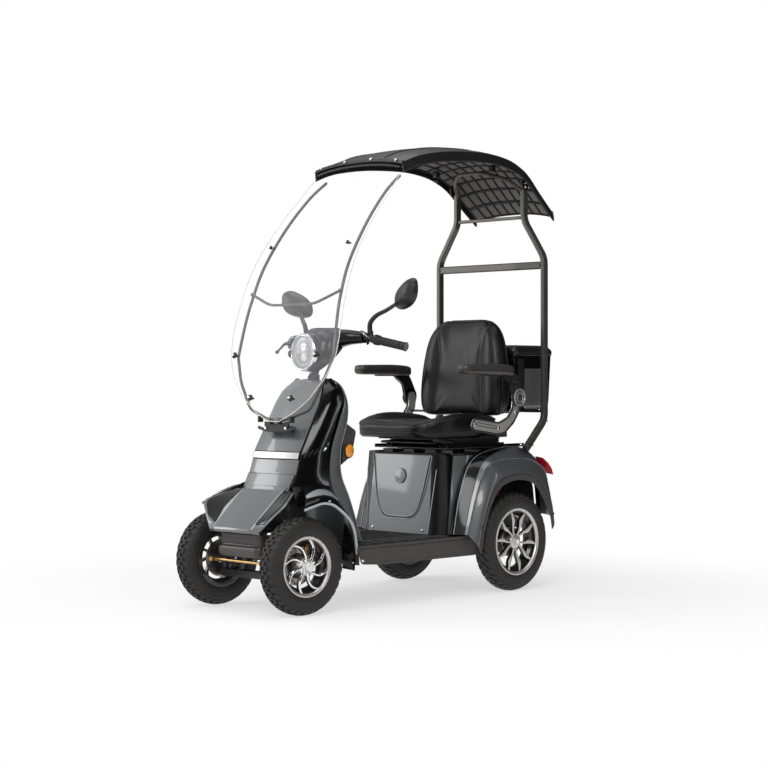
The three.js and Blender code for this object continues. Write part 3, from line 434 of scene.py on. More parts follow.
# ---- materials ----
def material(name, color, roughness, metallic=0.0, coat=0.0, coat_roughness=0.04, mottle=0.12,
             mottle_size=60, spread=0.05, grain_size=0.9, grain_depth=0.0, cells=False,
             stretch=(1, 1, 1), alpha=1.0, specular=0.5, sheen=0.0):
    """A Principled material whose colour, roughness and surface vary over the object.

    mottle is the share by which the colour varies over patches of mottle_size mm, spread is how
    far the roughness varies, and grain_depth (mm) raises a grain of grain_size mm.
    """
    made = bpy.data.materials.new(name)
    made.use_nodes = True
    nodes, links = made.node_tree.nodes, made.node_tree.links
    shader = nodes["Principled BSDF"]
    shader.inputs["Metallic"].default_value = metallic
    shader.inputs["Coat Weight"].default_value = coat
    shader.inputs["Coat Roughness"].default_value = coat_roughness
    shader.inputs["Alpha"].default_value = alpha
    shader.inputs["IOR"].default_value = 1.5
    shader.inputs["Specular IOR Level"].default_value = specular
    shader.inputs["Sheen Weight"].default_value = sheen
    place = nodes.new("ShaderNodeTexCoord")
    scale = nodes.new("ShaderNodeMapping")
    scale.inputs["Scale"].default_value = stretch
    links.new(place.outputs["Object"], scale.inputs["Vector"])

    patches = nodes.new("ShaderNodeTexNoise")
    patches.inputs["Scale"].default_value = 1000 / mottle_size
    patches.inputs["Detail"].default_value = 4
    links.new(scale.outputs["Vector"], patches.inputs["Vector"])
    colors = nodes.new("ShaderNodeValToRGB")
    colors.color_ramp.elements[0].position = 0.35
    colors.color_ramp.elements[1].position = 0.65
    colors.color_ramp.elements[0].color = (*[c * (1 - mottle) for c in color], 1)
    colors.color_ramp.elements[1].color = (*[min(1, c * (1 + mottle)) for c in color], 1)
    links.new(patches.outputs["Fac"], colors.inputs["Fac"])
    links.new(colors.outputs["Color"], shader.inputs["Base Color"])

    gloss = nodes.new("ShaderNodeMapRange")
    gloss.inputs["To Min"].default_value = max(0.0, roughness - spread)
    gloss.inputs["To Max"].default_value = min(1.0, roughness + spread)
    links.new(patches.outputs["Fac"], gloss.inputs["Value"])
    links.new(gloss.outputs["Result"], shader.inputs["Roughness"])

    if grain_depth:
        if cells:
            grain = nodes.new("ShaderNodeTexVoronoi")
            grain.feature = "SMOOTH_F1"
            height = grain.outputs["Distance"]
        else:
            grain = nodes.new("ShaderNodeTexNoise")
            grain.inputs["Detail"].default_value = 3
            height = grain.outputs["Fac"]
        grain.inputs["Scale"].default_value = 1000 / grain_size
        links.new(scale.outputs["Vector"], grain.inputs["Vector"])
        bump = nodes.new("ShaderNodeBump")
        bump.inputs["Strength"].default_value = 1.0
        bump.inputs["Distance"].default_value = grain_depth * MM
        links.new(height, bump.inputs["Height"])
        links.new(bump.outputs["Normal"], shader.inputs["Normal"])
    return made


GREY = material("metallic_grey_paint", (0.125, 0.131, 0.138), 0.34, metallic=0.55, coat=0.7,
                mottle=0.16, mottle_size=0.9, spread=0.06)
# painted highlight: a lit copy of the grey paint, laid as strips and thin lines along edges, creases
# and seams where they catch the light
PAINTED_HIGHLIGHT_GREY = material("painted_highlight_grey", (0.42, 0.43, 0.44), 0.34, metallic=0.5, coat=0.6,
                     mottle=0.1, mottle_size=0.9)
BLACK = material("gloss_black", (0.003, 0.003, 0.0035), 0.14, coat=0.25, coat_roughness=0.03,
                 mottle=0.2, mottle_size=120, spread=0.03, grain_size=9, grain_depth=0.02,
                 specular=0.25)
BROWN = material("satin_brown_plastic", (0.04, 0.034, 0.034), 0.4, mottle=0.07, mottle_size=45,
                 grain_size=1.1, grain_depth=0.05)
SATIN = material("satin_black_plastic", (0.009, 0.009, 0.0095), 0.38, mottle=0.1, mottle_size=50,
                 grain_size=0.9, grain_depth=0.035)
DARK = material("shadow_black", (0.004, 0.004, 0.004), 0.6, mottle=0.2, mottle_size=30)
MAT = material("mat_rubber", (0.02, 0.019, 0.019), 0.62, mottle=0.15, mottle_size=14,
               grain_size=1.4, grain_depth=0.12)
GRIP = material("grip_rubber", (0.016, 0.016, 0.016), 0.66, mottle=0.12, mottle_size=10,
                grain_size=0.8, grain_depth=0.06)
TYRE = material("tyre_rubber", (0.013, 0.0115, 0.011), 0.62, mottle=0.22, mottle_size=26,
                spread=0.1, grain_size=1.6, grain_depth=0.1)
ALLOY = material("machined_alloy", (0.6, 0.585, 0.56), 0.36, metallic=0.85, mottle=0.05,
                 mottle_size=6, spread=0.04)
RIM_BLACK = material("rim_black", (0.012, 0.012, 0.013), 0.3, coat=0.5, mottle=0.15,
                     mottle_size=18)
CHROME = material("chrome", (0.82, 0.82, 0.83), 0.07, metallic=1.0, mottle=0.03, mottle_size=30,
                  spread=0.02)
SILVER = material("satin_silver", (0.58, 0.57, 0.56), 0.34, metallic=0.75, mottle=0.05,
                  mottle_size=8, spread=0.05, stretch=(1, 8, 8))
PALE_CAP = material("pale_hub_cap", (0.8, 0.8, 0.79), 0.3, metallic=0.35, mottle=0.04,
                    mottle_size=8)
STEEL = material("dark_steel", (0.03, 0.03, 0.031), 0.42, metallic=0.3, mottle=0.2,
                 mottle_size=35, grain_size=1.5, grain_depth=0.04)
DISC = material("brake_disc", (0.42, 0.4, 0.37), 0.3, metallic=1.0, mottle=0.15, mottle_size=5,
                spread=0.08)
MAST_PAINT = material("tube_paint", (0.05, 0.044, 0.041), 0.38, metallic=0.25, coat=0.25,
                      mottle=0.1, mottle_size=22, grain_size=1.2, grain_depth=0.02)
VINYL = material("grained_vinyl", (0.004, 0.004, 0.0045), 0.36, mottle=0.15, mottle_size=40,
                 spread=0.06, grain_size=2.2, grain_depth=0.1, cells=True, specular=0.32)
PIPING = material("seat_piping", (0.009, 0.009, 0.0095), 0.34, mottle=0.15, mottle_size=5,
                  grain_size=0.8, grain_depth=0.05)
RED_LENS = material("red_lens", (0.5, 0.008, 0.02), 0.1, coat=1.0, mottle=0.2, mottle_size=5,
                    grain_size=4, grain_depth=0.25, cells=True)
AMBER = material("amber_reflector", (0.85, 0.3, 0.02), 0.16, coat=0.8, mottle=0.16,
                 mottle_size=3, grain_size=3, grain_depth=0.3, cells=True)
SPRING_RED = material("spring_red", (0.45, 0.012, 0.012), 0.28, coat=0.5, mottle=0.1,
                      mottle_size=12)
GOLD = material("gold_zinc", (0.62, 0.4, 0.16), 0.28, metallic=1.0, mottle=0.18, mottle_size=9)
MIRROR = material("mirror_glass", (0.88, 0.9, 0.92), 0.02, metallic=1.0, mottle=0.02,
                  mottle_size=60, spread=0.01)
LAMP_GLASS = material("lamp_glass", (0.9, 0.93, 0.95), 0.04, mottle=0.03, mottle_size=25,
                      spread=0.02, alpha=0.22, coat=1.0)
LAMP_WHITE = material("lamp_diffuser", (0.85, 0.87, 0.88), 0.2, mottle=0.06, mottle_size=3,
                      grain_size=2.5, grain_depth=0.2, cells=True)
SCREEN = material("clear_sheet", (0.86, 0.85, 0.88), 0.05, mottle=0.02, mottle_size=90,
                  spread=0.015, alpha=0.055, specular=0.25)
# painted highlight: a brighter, less clear copy of the sheet, laid round its edge where the light
# catches it
SCREEN_RIM_HIGHLIGHT = material("clear_sheet_rim_highlight", (0.8, 0.77, 0.72), 0.12, mottle=0.03,
                       mottle_size=12, spread=0.04, alpha=0.6)
LINER = material("liner_fabric", (0.1, 0.094, 0.09), 0.8, mottle=0.2, mottle_size=4,
                 grain_size=1.6, grain_depth=0.2, sheen=0.15)


# ---- wheels: built round X with the wheel's outer face towards +X ----
REAR_WHEEL = {"radius": 206, "half_width": 40, "bead": 127, "flange": 140, "x": 302, "y": 0}
FRONT_WHEEL = {"radius": 184, "half_width": 41, "bead": 101.6, "flange": 114, "x": 242,
               "y": FRONT_WHEEL_Y}
TREAD_HALF = 36
TREAD_DEPTH = 5.0
TREAD_PITCHES = 34
TREAD_PITCH = math.tau / TREAD_PITCHES


def tyre_body(size):
    """The tyre without its tread blocks: bead, sidewall bulge, shoulder and crown."""
    bead, radius, width = size["bead"], size["radius"], size["half_width"]
    height = radius - bead
    half = spline(table([
        (bead + 0.6, 31), (bead + 0.1 * height, 33), (bead + 0.3 * height, width - 1.5),
        (bead + 0.5 * height, width - 0.4), (bead + 0.7 * height, width - 3.5),
        (radius - 15, 31), (radius - 8, 18), (radius - TREAD_DEPTH - 0.6, 0)]), 22)
    outer = [tuple(p) for p in half] + [(p[0], -p[1]) for p in reversed(half[:-1])]
    inner = [(bead + 0.6, -24), (bead + 0.7 * height, -28), (radius - 18, -12),
             (radius - 18, 12), (bead + 0.7 * height, 28), (bead + 0.6, 24)]
    ribs = [lathe([(r - 1.2, s * (x - 1)), (r, s * (x + 0.9)), (r + 1.2, s * (x - 1))], 72)
            for s in (1, -1)
            for r, x in ((bead + 0.16 * height, width - 4.6), (bead + 0.6 * height, width - 1.4))]
    return merged(lathe(outer + inner, 96), *ribs)


def tread_block(radius, angles_near, angles_far, near, far, steps=4):
    """One rubber block between two places across the tread, -1 to 1, standing on the tyre."""
    rings = []
    for k in range(steps):
        t = k / (steps - 1)
        across = near + (far - near) * t
        x = TREAD_HALF * across
        top = radius - 9.5 * across ** 2 - 6.5 * across ** 6
        ring = []
        for end, draft in ((0, 0.004), (1, -0.004)):
            angle = angles_near[end] * (1 - t) + angles_far[end] * t
            for r, shift in ((top, draft), (top - TREAD_DEPTH - 3, 0)):
                c, s = math.cos(angle + shift), math.sin(angle + shift)
                ring.append(V(x + (0 if r == top else across * -3), r * c, r * s))
        rings.append([ring[0], ring[2], ring[3], ring[1]])
    return loft(rings)


def road_tread(radius):
    """Slanted lugs that point the way the wheel rolls, in two rows a side."""
    blocks = []
    for i in range(TREAD_PITCHES):
        for side in (1, -1):
            start = (i + (0.5 if side < 0 else 0)) * TREAD_PITCH
            for near, far, slant, width in ((0.03, 0.5, 0.9, 0.8), (0.56, 1.0, 1.25, 0.74)):
                a = start + TREAD_PITCH * slant * near
                b = start + TREAD_PITCH * slant * far
                reach = TREAD_PITCH * width
                blocks.append(tread_block(radius, (a, a + reach), (b, b + reach),
                                          side * near, side * far))
    return merged(*blocks)


def block_tread(radius):
    """Chunky staggered blocks in five rows."""
    rows = ((-0.17, 0.17, 0, 0.74), (0.25, 0.56, 0.5, 0.7), (-0.56, -0.25, 0.5, 0.7),
            (0.64, 1.02, 0.05, 0.62), (-1.02, -0.64, 0.05, 0.62))
    blocks = []
    for i in range(TREAD_PITCHES):
        for near, far, shift, width in rows:
            a = (i + shift) * TREAD_PITCH
            ends = (a, a + TREAD_PITCH * width)
            blocks.append(tread_block(radius, ends, ends, near, far, 3))
    return merged(*blocks)


def rim_barrel(size):
    """The rolled rim: a bright outer lip and the dark well behind it."""
    bead, flange = size["bead"], size["flange"]
    lip = lathe([(bead - 1, 30), (bead + 2, 35), (flange - 4, 38), (flange, 37),
                 (flange + 0.5, 34), (flange - 1, 31.4), (bead, 31), (bead - 1, 28)], 96)
    well = lathe([(bead - 4, 30), (bead - 1, 31), (bead - 1, 12), (bead - 14, 4), (bead - 14, -10),
                  (bead - 1, -24), (bead - 1, -31), (flange - 1, -32), (flange, -36),
                  (bead - 4, -35), (bead - 5, -26), (bead - 18, -12), (bead - 18, 6),
                  (bead - 7, 16)], 72)
    return lip, well


def spoke(path, widths, face_x, depth, crown=2.5):
    """A spoke from (radius, angle) points: a machined face on a dark, tapered body."""
    line = spline(table([(r, math.radians(a)) for r, a in path]), 9)
    sizes = spline(table([(w, x) for w, x in zip(widths, face_x)]), 9)
    face, body = [], []
    for (radius, angle), (width, x) in zip(line, sizes):
        middle = V(x, radius * math.cos(angle), radius * math.sin(angle))
        across = V(0, -math.sin(angle), math.cos(angle)) * (width / 2)
        near, far = middle + across, middle - across
        face.append([near, middle + V(crown / 2, 0, 0), far,
                     far - V(1.2, 0, 0), near - V(1.2, 0, 0)])
        body.append([near - V(1, 0, 0), far - V(1, 0, 0),
                     middle - across * 0.8 - V(depth, 0, 0),
                     middle + across * 0.8 - V(depth, 0, 0)])
    return loft(face), loft(body)


def rear_rim(piece, place):
    """Five pairs of curved spokes round a small hub, with the brake drum behind them."""
    lip, well = rim_barrel(REAR_WHEEL)
    piece.add(lip, ALLOY, place)
    piece.add(well, RIM_BLACK, place)
    for pair in range(5):
        middle = 72 * pair + 48
        for lean in (1, -1):
            path = [(26, middle + lean * 9), (62, middle + lean * 15.5), (88, middle + lean * 20),
                    (125, middle + lean * 16)]
            face, body = spoke(path, (8.5, 10, 17.5, 8), (25, 27, 29, 30.5), 17)
            piece.add(face, ALLOY, place)
            piece.add(body, RIM_BLACK, place)
    hub = lathe([(0, 30), (7, 30), (8, 27), (21, 26.5), (31, 24), (33, 20), (33, -20), (0, -20)], 48)
    nut = moved(prism(ring_outline(9, 9, 1, 6), 9, Matrix.Identity(4)),
                Matrix.Translation(V(29, 0, 0)) @ Matrix.Rotation(math.pi / 2, 4, "Y"))
    piece.add(hub, ALLOY, place)
    piece.add(lathe([(0, 33), (9, 33), (13, 31), (15, 26), (0, 26)], 32), SILVER, place)
    piece.add(nut, CHROME, place)
    drum = lathe([(30, 2), (58, 0), (64, -6), (64, -30), (30, -32)], 56)
    piece.add(drum, STEEL, place)
    piece.add(lathe([(56, 1.5), (60, 1.6), (60, -1), (56, -1)], 56), DISC, place)


def front_rim(piece, place):
    """Eight swirled spokes round a hub with a pale cap and four nuts."""
    lip, well = rim_barrel(FRONT_WHEEL)
    piece.add(lip, ALLOY, place)
    piece.add(well, RIM_BLACK, place)
    for k in range(8):
        turn = 45 * k + 10
        path = [(24, turn - 6), (50, turn), (76, turn + 9), (100, turn + 24)]
        face, body = spoke(path, (11, 11.5, 13, 19), (35, 34, 32, 30), 15, 5)
        piece.add(face, CHROME, place)
        piece.add(body, RIM_BLACK, place)
    hub = lathe([(0, 36), (20, 36), (28, 35), (34, 30), (35, 20), (35, -20), (0, -20)], 48)
    cap = lathe([(0, 59.5), (13, 59), (17, 57), (18.5, 53), (19, 50), (20, 38), (22, 35),
                 (0, 35)], 40)
    piece.add(hub, ALLOY, place)
    piece.add(cap, PALE_CAP, place)
    for k in range(4):
        angle = math.radians(90 * k + 32)
        seat = V(35, 27 * math.cos(angle), 27 * math.sin(angle))
        nut = prism(ring_outline(7, 7, 1, 6), 13, Matrix.Translation(seat - V(4, 0, 0))
                    @ Matrix.Rotation(math.pi / 2, 4, "Y"))
        piece.add(nut, CHROME, place)
        piece.add(ball(seat + V(9, 0, 0), 6.2, 12), CHROME, place)


def wheel(end, side):
    """A rim and its tyre; a front wheel also gets its brake."""
    name = f"{end}_{SIDE_NAME[side]}"
    size = REAR_WHEEL if end == "rear" else FRONT_WHEEL
    place = Matrix.Translation(V(side * size["x"], size["y"], size["radius"])) @ SIDE_PLACE[side]
    if end == "front":
        place = KINGPINS[side] @ place
    rim = Piece(f"rim_{name}_detailed", f"wheel_{name}", "alloy")
    (rear_rim if end == "rear" else front_rim)(rim, place)
    rim.make([f"rim_{name}"], bevel=0.7)
    tyre = Piece(f"tyre_{name}_detailed", f"wheel_{name}", "tyre")
    tyre.add(tyre_body(size), TYRE, place)
    tyre.add((road_tread if end == "rear" else block_tread)(size["radius"]), TYRE, place)
    tyre.make([f"tyre_{name}"], sharp=40)
    if end == "front":
        front_brake(name, side, place)


def front_brake(name, side, place):
    """The disc turns with the wheel; the caliper stays on the knuckle."""
    disc = Piece(f"brake_disc_{name}", f"wheel_{name}", "alloy")
    holes = 18
    disc.add(lathe([(46, -24), (74, -24), (74, -27.5), (46, -27.5)], 72), DISC, place)
    disc.add(lathe([(20, -18), (30, -18), (34, -23), (48, -23.6), (48, -27.6), (20, -26)], 48),
             STEEL, place)
    for k in range(holes):
        angle = math.tau * k / holes
        radius = 60 + 7 * (k % 2)
        spot = V(-23.8, radius * math.cos(angle), radius * math.sin(angle))
        disc.add(moved(lathe([(0, 0.2), (3.2, 0.2), (3.2, 0), (0, 0)], 14),
                       Matrix.Translation(spot)), DARK, place)
    disc.make(bevel=0.4)
    caliper = Piece(f"brake_caliper_{name}", f"knuckle_{SIDE_NAME[side]}", "gold_zinc")
    body = rounded(table([(38, 44), (70, 34), (84, 52), (80, 84), (50, 92), (34, 74)]), 8, 4, True)
    plate = [[V(x, p[0] * math.cos(0.5), p[1] - 10) for p in body] for x in (-18, -36)]
    caliper.add(loft(plate), GOLD, place)
    caliper.add(block(-40, -14, 48, 76, 36, 62, 5), STEEL, place)
    caliper.add(rod(V(-30, 40, 60), V(-30, 10, 20), 7), STEEL, place)
    for y, z in ((62, 40), (66, 68)):
        caliper.add(bolt(V(-18, y, z), (1, 0, 0), 5, 5), CHROME, place)
    caliper.make(bevel=1.2)


for wheel_side in (1, -1):
    wheel("rear", wheel_side)
    wheel("front", wheel_side)


# ---- nose hood: a middle panel between two creases, and a turned-up wing on each side ----
HOOD_ROWS = [
    (-1290, 320, V(103, -1283, 319), V(139, -1270, 315)),
    (-1250, 356, V(105, -1243, 355), V(190, -1246, 370)),
    (-1210, 391, V(107, -1204, 390), V(224, -1220, 412)),
    (-1168, 426, V(108, -1165, 424), V(196, -1170, 432)),
    (-1128, 458, V(110, -1125, 456), V(160, -1115, 452)),
]
SKIN = 3.0


def hood_grids():
    """The middle panel's grid and the left wing's."""
    middle = fine([whole([V(0, y, z), V(crease.x * 0.55, y * 0.7 + crease.y * 0.3, z - 1), crease])
                   for y, z, crease, _ in HOOD_ROWS], 17, 25)
    wing = fine([[crease, crease.lerp(tip, 0.5) - V(0, 0, 1.5), tip]
                 for _, _, crease, tip in HOOD_ROWS], 13, 25)
    return middle, wing


def nose_hood():
    """The hood's panels with painted highlights along their edges, sunk gloss-black fields and
    rolled front lip.
    """
    middle, wing = hood_grids()
    hood = Piece("nose_hood_panels", "chassis", "grey_paint")
    hood.add(sheet(middle, -SKIN), GREY)
    # painted highlight: the border band beside the crease and the bars along both wing edges (lips)
    # are lit strips
    border = sheet(part_of(wing, 0, 0.17, 0, 1, 4, 25), -SKIN, 0.3)
    edge = sheet(part_of(wing, 0.84, 1, 0, 1, 4, 25), -SKIN, 0.3)
    foot = sheet(part_of(wing, 0.17, 0.84, 0, 0.13, 8, 5), -SKIN, 0.3)
    recess = sheet(part_of(wing, 0.17, 0.84, 0.13, 1, 8, 22), -SKIN, -2.6)
    lips = [bar([surface(wing, u, v / 24) + V(0, 0, 0.4) for v in range(25)], 2.6, 2.4, V(0, 0, 1))
            for u in (0.0, 1.0)]
    rolled_edge = tube([surface(wing, 1, v / 24) + V(0, 0, -2.5) for v in range(25)], 3.2, 10)
    for shape, finish in ((border, PAINTED_HIGHLIGHT_GREY), (edge, GREY), (foot, GREY), (recess, BLACK),
                          (lips[0], PAINTED_HIGHLIGHT_GREY), (lips[1], PAINTED_HIGHLIGHT_GREY), (rolled_edge, GREY)):
        hood.add(both(shape), finish)
    front = [surface(middle, u / 16, 0) for u in range(17)]
    corner = surface(wing, 1, 0)
    nose_line = [flip(corner)] + front + [corner]
    drop = [[p + V(0, 1, 1), p + V(0, -2, -5), p + V(0, 2, -14)] for p in nose_line]
    hood.add(sheet(drop, -3), GREY)
    # painted highlight line along the rolled front lip
    hood.add(tube([p + V(0, -1.5, -4) for p in nose_line], 2.4, 8), PAINTED_HIGHLIGHT_GREY)
    hood.make(["nose_hood"], bevel=0.6, sharp=38)


def front_grille():
    """A boxed lower nose with slots, and a bumper lip under it."""
    grille = Piece("front_grille_detailed", "chassis", "brown_plastic")

    def outline(half, front):
        return rounded(table([(-half, -1186), (-half, front + 10), (-half + 16, front),
                              (half - 16, front), (half, front + 10), (half, -1186)]), 6, 4)

    rings = [[V(p.x, p.y, z) for p in outline(half, front)]
             for half, front, z in ((112, -1245, 296), (110, -1243, 262), (109, -1241, 246))]
    grille.add(sheet(rings, 4), BROWN)
    for z in (292, 279, 266, 253):
        rib = [V(p.x * 0.99, p.y - 3.2, z) for p in outline(104, -1243) if p.y < -1236]
        grille.add(bar(rib, 5, 5.5, V(0, 0, 1), 1.2), BROWN)
    for z in (285.5, 272.5, 259.5):
        slot = [V(-84, -1245.4, z), V(84, -1245.4, z)]
        grille.add(bar(slot, 3, 6, V(0, 0, 1), 1), DARK)
        # painted highlight: a light line under the lower edge of each slot
        grille.add(bar([p + V(0, -1.0, -4) for p in slot], 2, 1.6, V(0, 0, 1)), PAINTED_HIGHLIGHT_GREY)
    lip = [[V(p.x * 1.02, p.y - d, z) for p in outline(half, -1246)]
           for half, d, z in ((112, 4, 246), (113, 8, 238), (111, 8, 220), (107, 2, 212))]
    grille.add(sheet(lip, 4), BROWN)
    grille.add(block(-100, 100, -1238, -1190, 214, 218, 8), SATIN)
    for x in (-92, 92):
        grille.add(bolt(V(x, -1254, 229), (0, -1, 0), 4, 3), CHROME)
    grille.make(["front_grille"], bevel=0.8)


# ---- upper front body ----
# height, half-width of the front panel, its y, half-width at the rear edge, y of the rear edge
SHIELD_ROWS = table([
    (472, 127, -1100, 168, -935), (520, 130, -1074, 158, -938), (600, 128, -1048, 154, -925),
    (700, 126, -990, 156, -885), (790, 122, -938, 154, -850), (842, 108, -908, 140, -842),
    (874, 70, -880, 100, -848),
])
BANDS = {"foot": (472, 516), "recess": (517, 572), "panel": (602, 874)}


def shield_front(z, share, out=0.0):
    """A point of the front panel: share of its half-width, moved out towards the front."""
    _, w, y, _, _ = row_at(SHIELD_ROWS, z)
    bulge = 12 * (1 - share ** 2) ** 0.8 if abs(share) < 1 else 0
    return V(share * (w - 1), y - bulge - out, z)


def shield_grid(z0, z1, out=0.0, rows=14):
    """The front panel between two heights."""
    return [[shield_front(z0 + (z1 - z0) * i / (rows - 1), j / 10 - 1, out)
             for j in range(21)] for i in range(rows)]


def shield_panel():
    """The grey front panel in its bands, with its seams, the painted highlight lines beside them,
    and the silver strip across it.
    """
    panel = Piece("shield_front_panels", "chassis", "grey_paint")
    panel.add(sheet(shield_grid(*BANDS["foot"], out=2), -4), GREY)
    apron = [[shield_front(474, j / 10 - 1, 2) + V(0, -5 * k, -9 * k) for j in range(21)]
             for k in range(4)]
    panel.add(sheet(apron, 3), GREY)
    panel.add(sheet(shield_grid(*BANDS["recess"], out=-3), -3), GREY)
    panel.add(sheet(shield_grid(*BANDS["panel"], out=1), -4), GREY)
    # each seam is a dark line with a painted highlight line just under it
    for z, out in ((516, 3.0), (573, -0.5), (601, 1.5)):
        panel.add(tube([shield_front(z, j / 10 - 1, out) for j in range(21)], 1.8, 8), DARK)
        panel.add(tube([shield_front(z - 3, j / 10 - 1, out + 0.6) for j in range(21)], 1.1, 8),
                  PAINTED_HIGHLIGHT_GREY)
    seam = spline([shield_front(z, s, 1.6) for s, z in
                   ((-0.82, 672), (-0.8, 662), (-0.66, 656), (0, 652), (0.66, 656),
                    (0.8, 662), (0.98, 672))], 40)
    panel.add(tube(seam, 1.5, 8), DARK)
    # painted highlight line under the seam
    panel.add(tube([p + V(0, -0.5, -2.6) for p in seam], 1.0, 8), PAINTED_HIGHLIGHT_GREY)
    inset = rounded([shield_front(z, s, 1.4) for s, z in
                     ((-0.52, 722), (-0.5, 800), (-0.42, 848), (0.42, 848), (0.5, 800),
                      (0.52, 722))], 14, 6, True)
    panel.add(tube(inset, 1.2, 8, closed=True), DARK)
    # painted highlight line beside the inset's outline
    panel.add(tube([p + V(0, -0.8, 1.8) for p in inset], 0.7, 6, closed=True), PAINTED_HIGHLIGHT_GREY)
    crown = [whole([V(0, -892 + 6 * k, 874 + 7 * k - 2 * k * k),
                    V(36, -888 + 6 * k, 874 + 6 * k - 2 * k * k),
                    V(69 - 6 * k, -880 + 7 * k, 872 + 3 * k - 2 * k * k)]) for k in range(3)]
    panel.add(sheet(crown, -3, 0.5), GREY)
    panel.make(["shield_panel"], bevel=0.5)
    strip = Piece("silver_trim_strip", "chassis", "chrome")
    strip.add(sheet(shield_grid(575, 600, out=4, rows=7), -5), SILVER)
    strip.make(["trim_strip"], bevel=1.6, sharp=25)


def shell_point(z, t, out=0.0):
    """A point of the left side shell: t goes from the front panel's edge to the rear edge."""
    _, w, y, rear_w, rear_y = row_at(SHIELD_ROWS, z)
    front = V(w + 1, y + 4, z)
    middle = V((w + rear_w) / 2 + 9, y * 0.55 + rear_y * 0.45, z)
    rear = V(rear_w, rear_y, z)
    return spline([front, middle, rear], 41)[round(t * 40)] + V(out, -0.2 * out, 0)


def shield_shell():
    """The gloss-black sides, each with a slotted vent that holds a bright blade."""
    shell = Piece("shield_side_shells", "chassis", "gloss_black")
    heights = [472 + 402 * i / 28 for i in range(29)]
    grid = [[shell_point(z, j / 10) for j in range(11)] for z in heights]
    shell.add(both(sheet(grid, -SKIN)), BLACK)
    top = [[shell_point(874, j / 10) + V(-3 * k, 2 * k, 8 * k - 2.2 * k * k) for j in range(11)]
           for k in range(4)]
    shell.add(both(sheet(top, -SKIN)), BLACK)
    shell.add(both(tube([shell_point(z, 0, 1.2) for z in heights], 2.2, 8)), BLACK)
    foot = [[shell_point(476, j / 10) + V(10 * k, 0, -26 * k) for j in range(11)]
            for k in range(4)]
    shell.add(both(sheet(foot, 2)), BLACK)
    bay = table([(-1216, 330), (-1180, 300), (-1010, 300), (-1010, 470), (-1110, 470)])
    shell.add(both(side_plate(bay, 116, 119)), SATIN)
    slot = rounded([shell_point(606, 0.05, 0.5), shell_point(640, 0.9, 0.5),
                    shell_point(600, 0.84, 0.5), shell_point(566, 0.05, 0.5)], 8, 4, True)
    centre = sum(slot, V(0, 0, 0)) / len(slot)
    shell.add(both(loft([[p + V(1.0, 0, 0) for p in slot],
                         [centre.lerp(p, 0.96) + V(-1.5, 0, 0) for p in slot]])), DARK)
    shell.add(both(tube([p + V(1.2, 0, 0) for p in slot], 1.4, 8, closed=True)), BLACK)
    for k in range(5):
        t = 0.16 + 0.14 * k
        fin = [shell_point(572 + 34 * (t + 0.1), t, 2), shell_point(600 + 34 * t, t + 0.1, 2)]
        shell.add(both(bar(fin, 4, 5, V(1, 0, 0.2), 1)), SATIN)
    blade = [shell_point(606, 0.74, 3), shell_point(622, 0.8, 3.4), shell_point(636, 0.86, 3)]
    shell.add(both(sweep(spline(blade, 7), [(-2, -2), (5, -1.5), (5, 1.5), (-2, 2)],
                         [0.5, 0.9, 1.2, 1.3, 1.2, 0.9, 0.5], up=V(1, 0, 0))), CHROME)
    shell.make(["shield_shell"], bevel=0.5)


# height, half-width, y of the middle, y of the turned-back side
LEG_ROWS = table([
    (250, 196, -782, -800), (352, 178, -803, -838), (430, 172, -830, -905),
    (500, 168, -862, -930), (560, 164, -868, -928), (624, 164, -862, -915),
    (717, 166, -832, -880), (790, 162, -826, -848), (850, 140, -834, -840),
    (876, 90, -828, -832),
])


def leg_shield():
    """The rider's side of the front body, with its turned-back edges."""
    shield = Piece("leg_shield_moulding", "chassis", "grey_paint")
    grid, edge = [], []
    rows = spline(LEG_ROWS, 40)
    for z, w, y, side_y in rows:
        turned = min(side_y, y - 10)
        edge.append(V(w + 3, y - 5, z))
        grid.append(whole([V(0, y, z), V(w * 0.35, y + 2, z), V(w * 0.7, y + 1, z),
                           V(w - 9, y, z), V(w - 2, y - 2, z), V(w + 2, y - 8, z),
                           V(w + 3, (y + turned) / 2 - 4, z), V(w + 2, turned, z)]))
    shield.add(sheet(grid, SKIN), GREY)
    # painted highlight along each turned-back edge
    shield.add(both(tube(edge, 2.0, 8)), PAINTED_HIGHLIGHT_GREY)
    for x in (-120, 120):
        for z in (470, 640):
            y = rows[round((z - LEG_ROWS[0][0]) / 16.5)][2]
            shield.add(bolt(V(x, y + 3, z), (0, 1, 0.05), 5, 3), CHROME)
    collar = [V(p.x, p.y - 842, 872) for p in ring_outline(44, 40)]
    shield.add(tube(collar, 4, 8, closed=True), SATIN)
    shield.make(["leg_shield"], bevel=0.5)


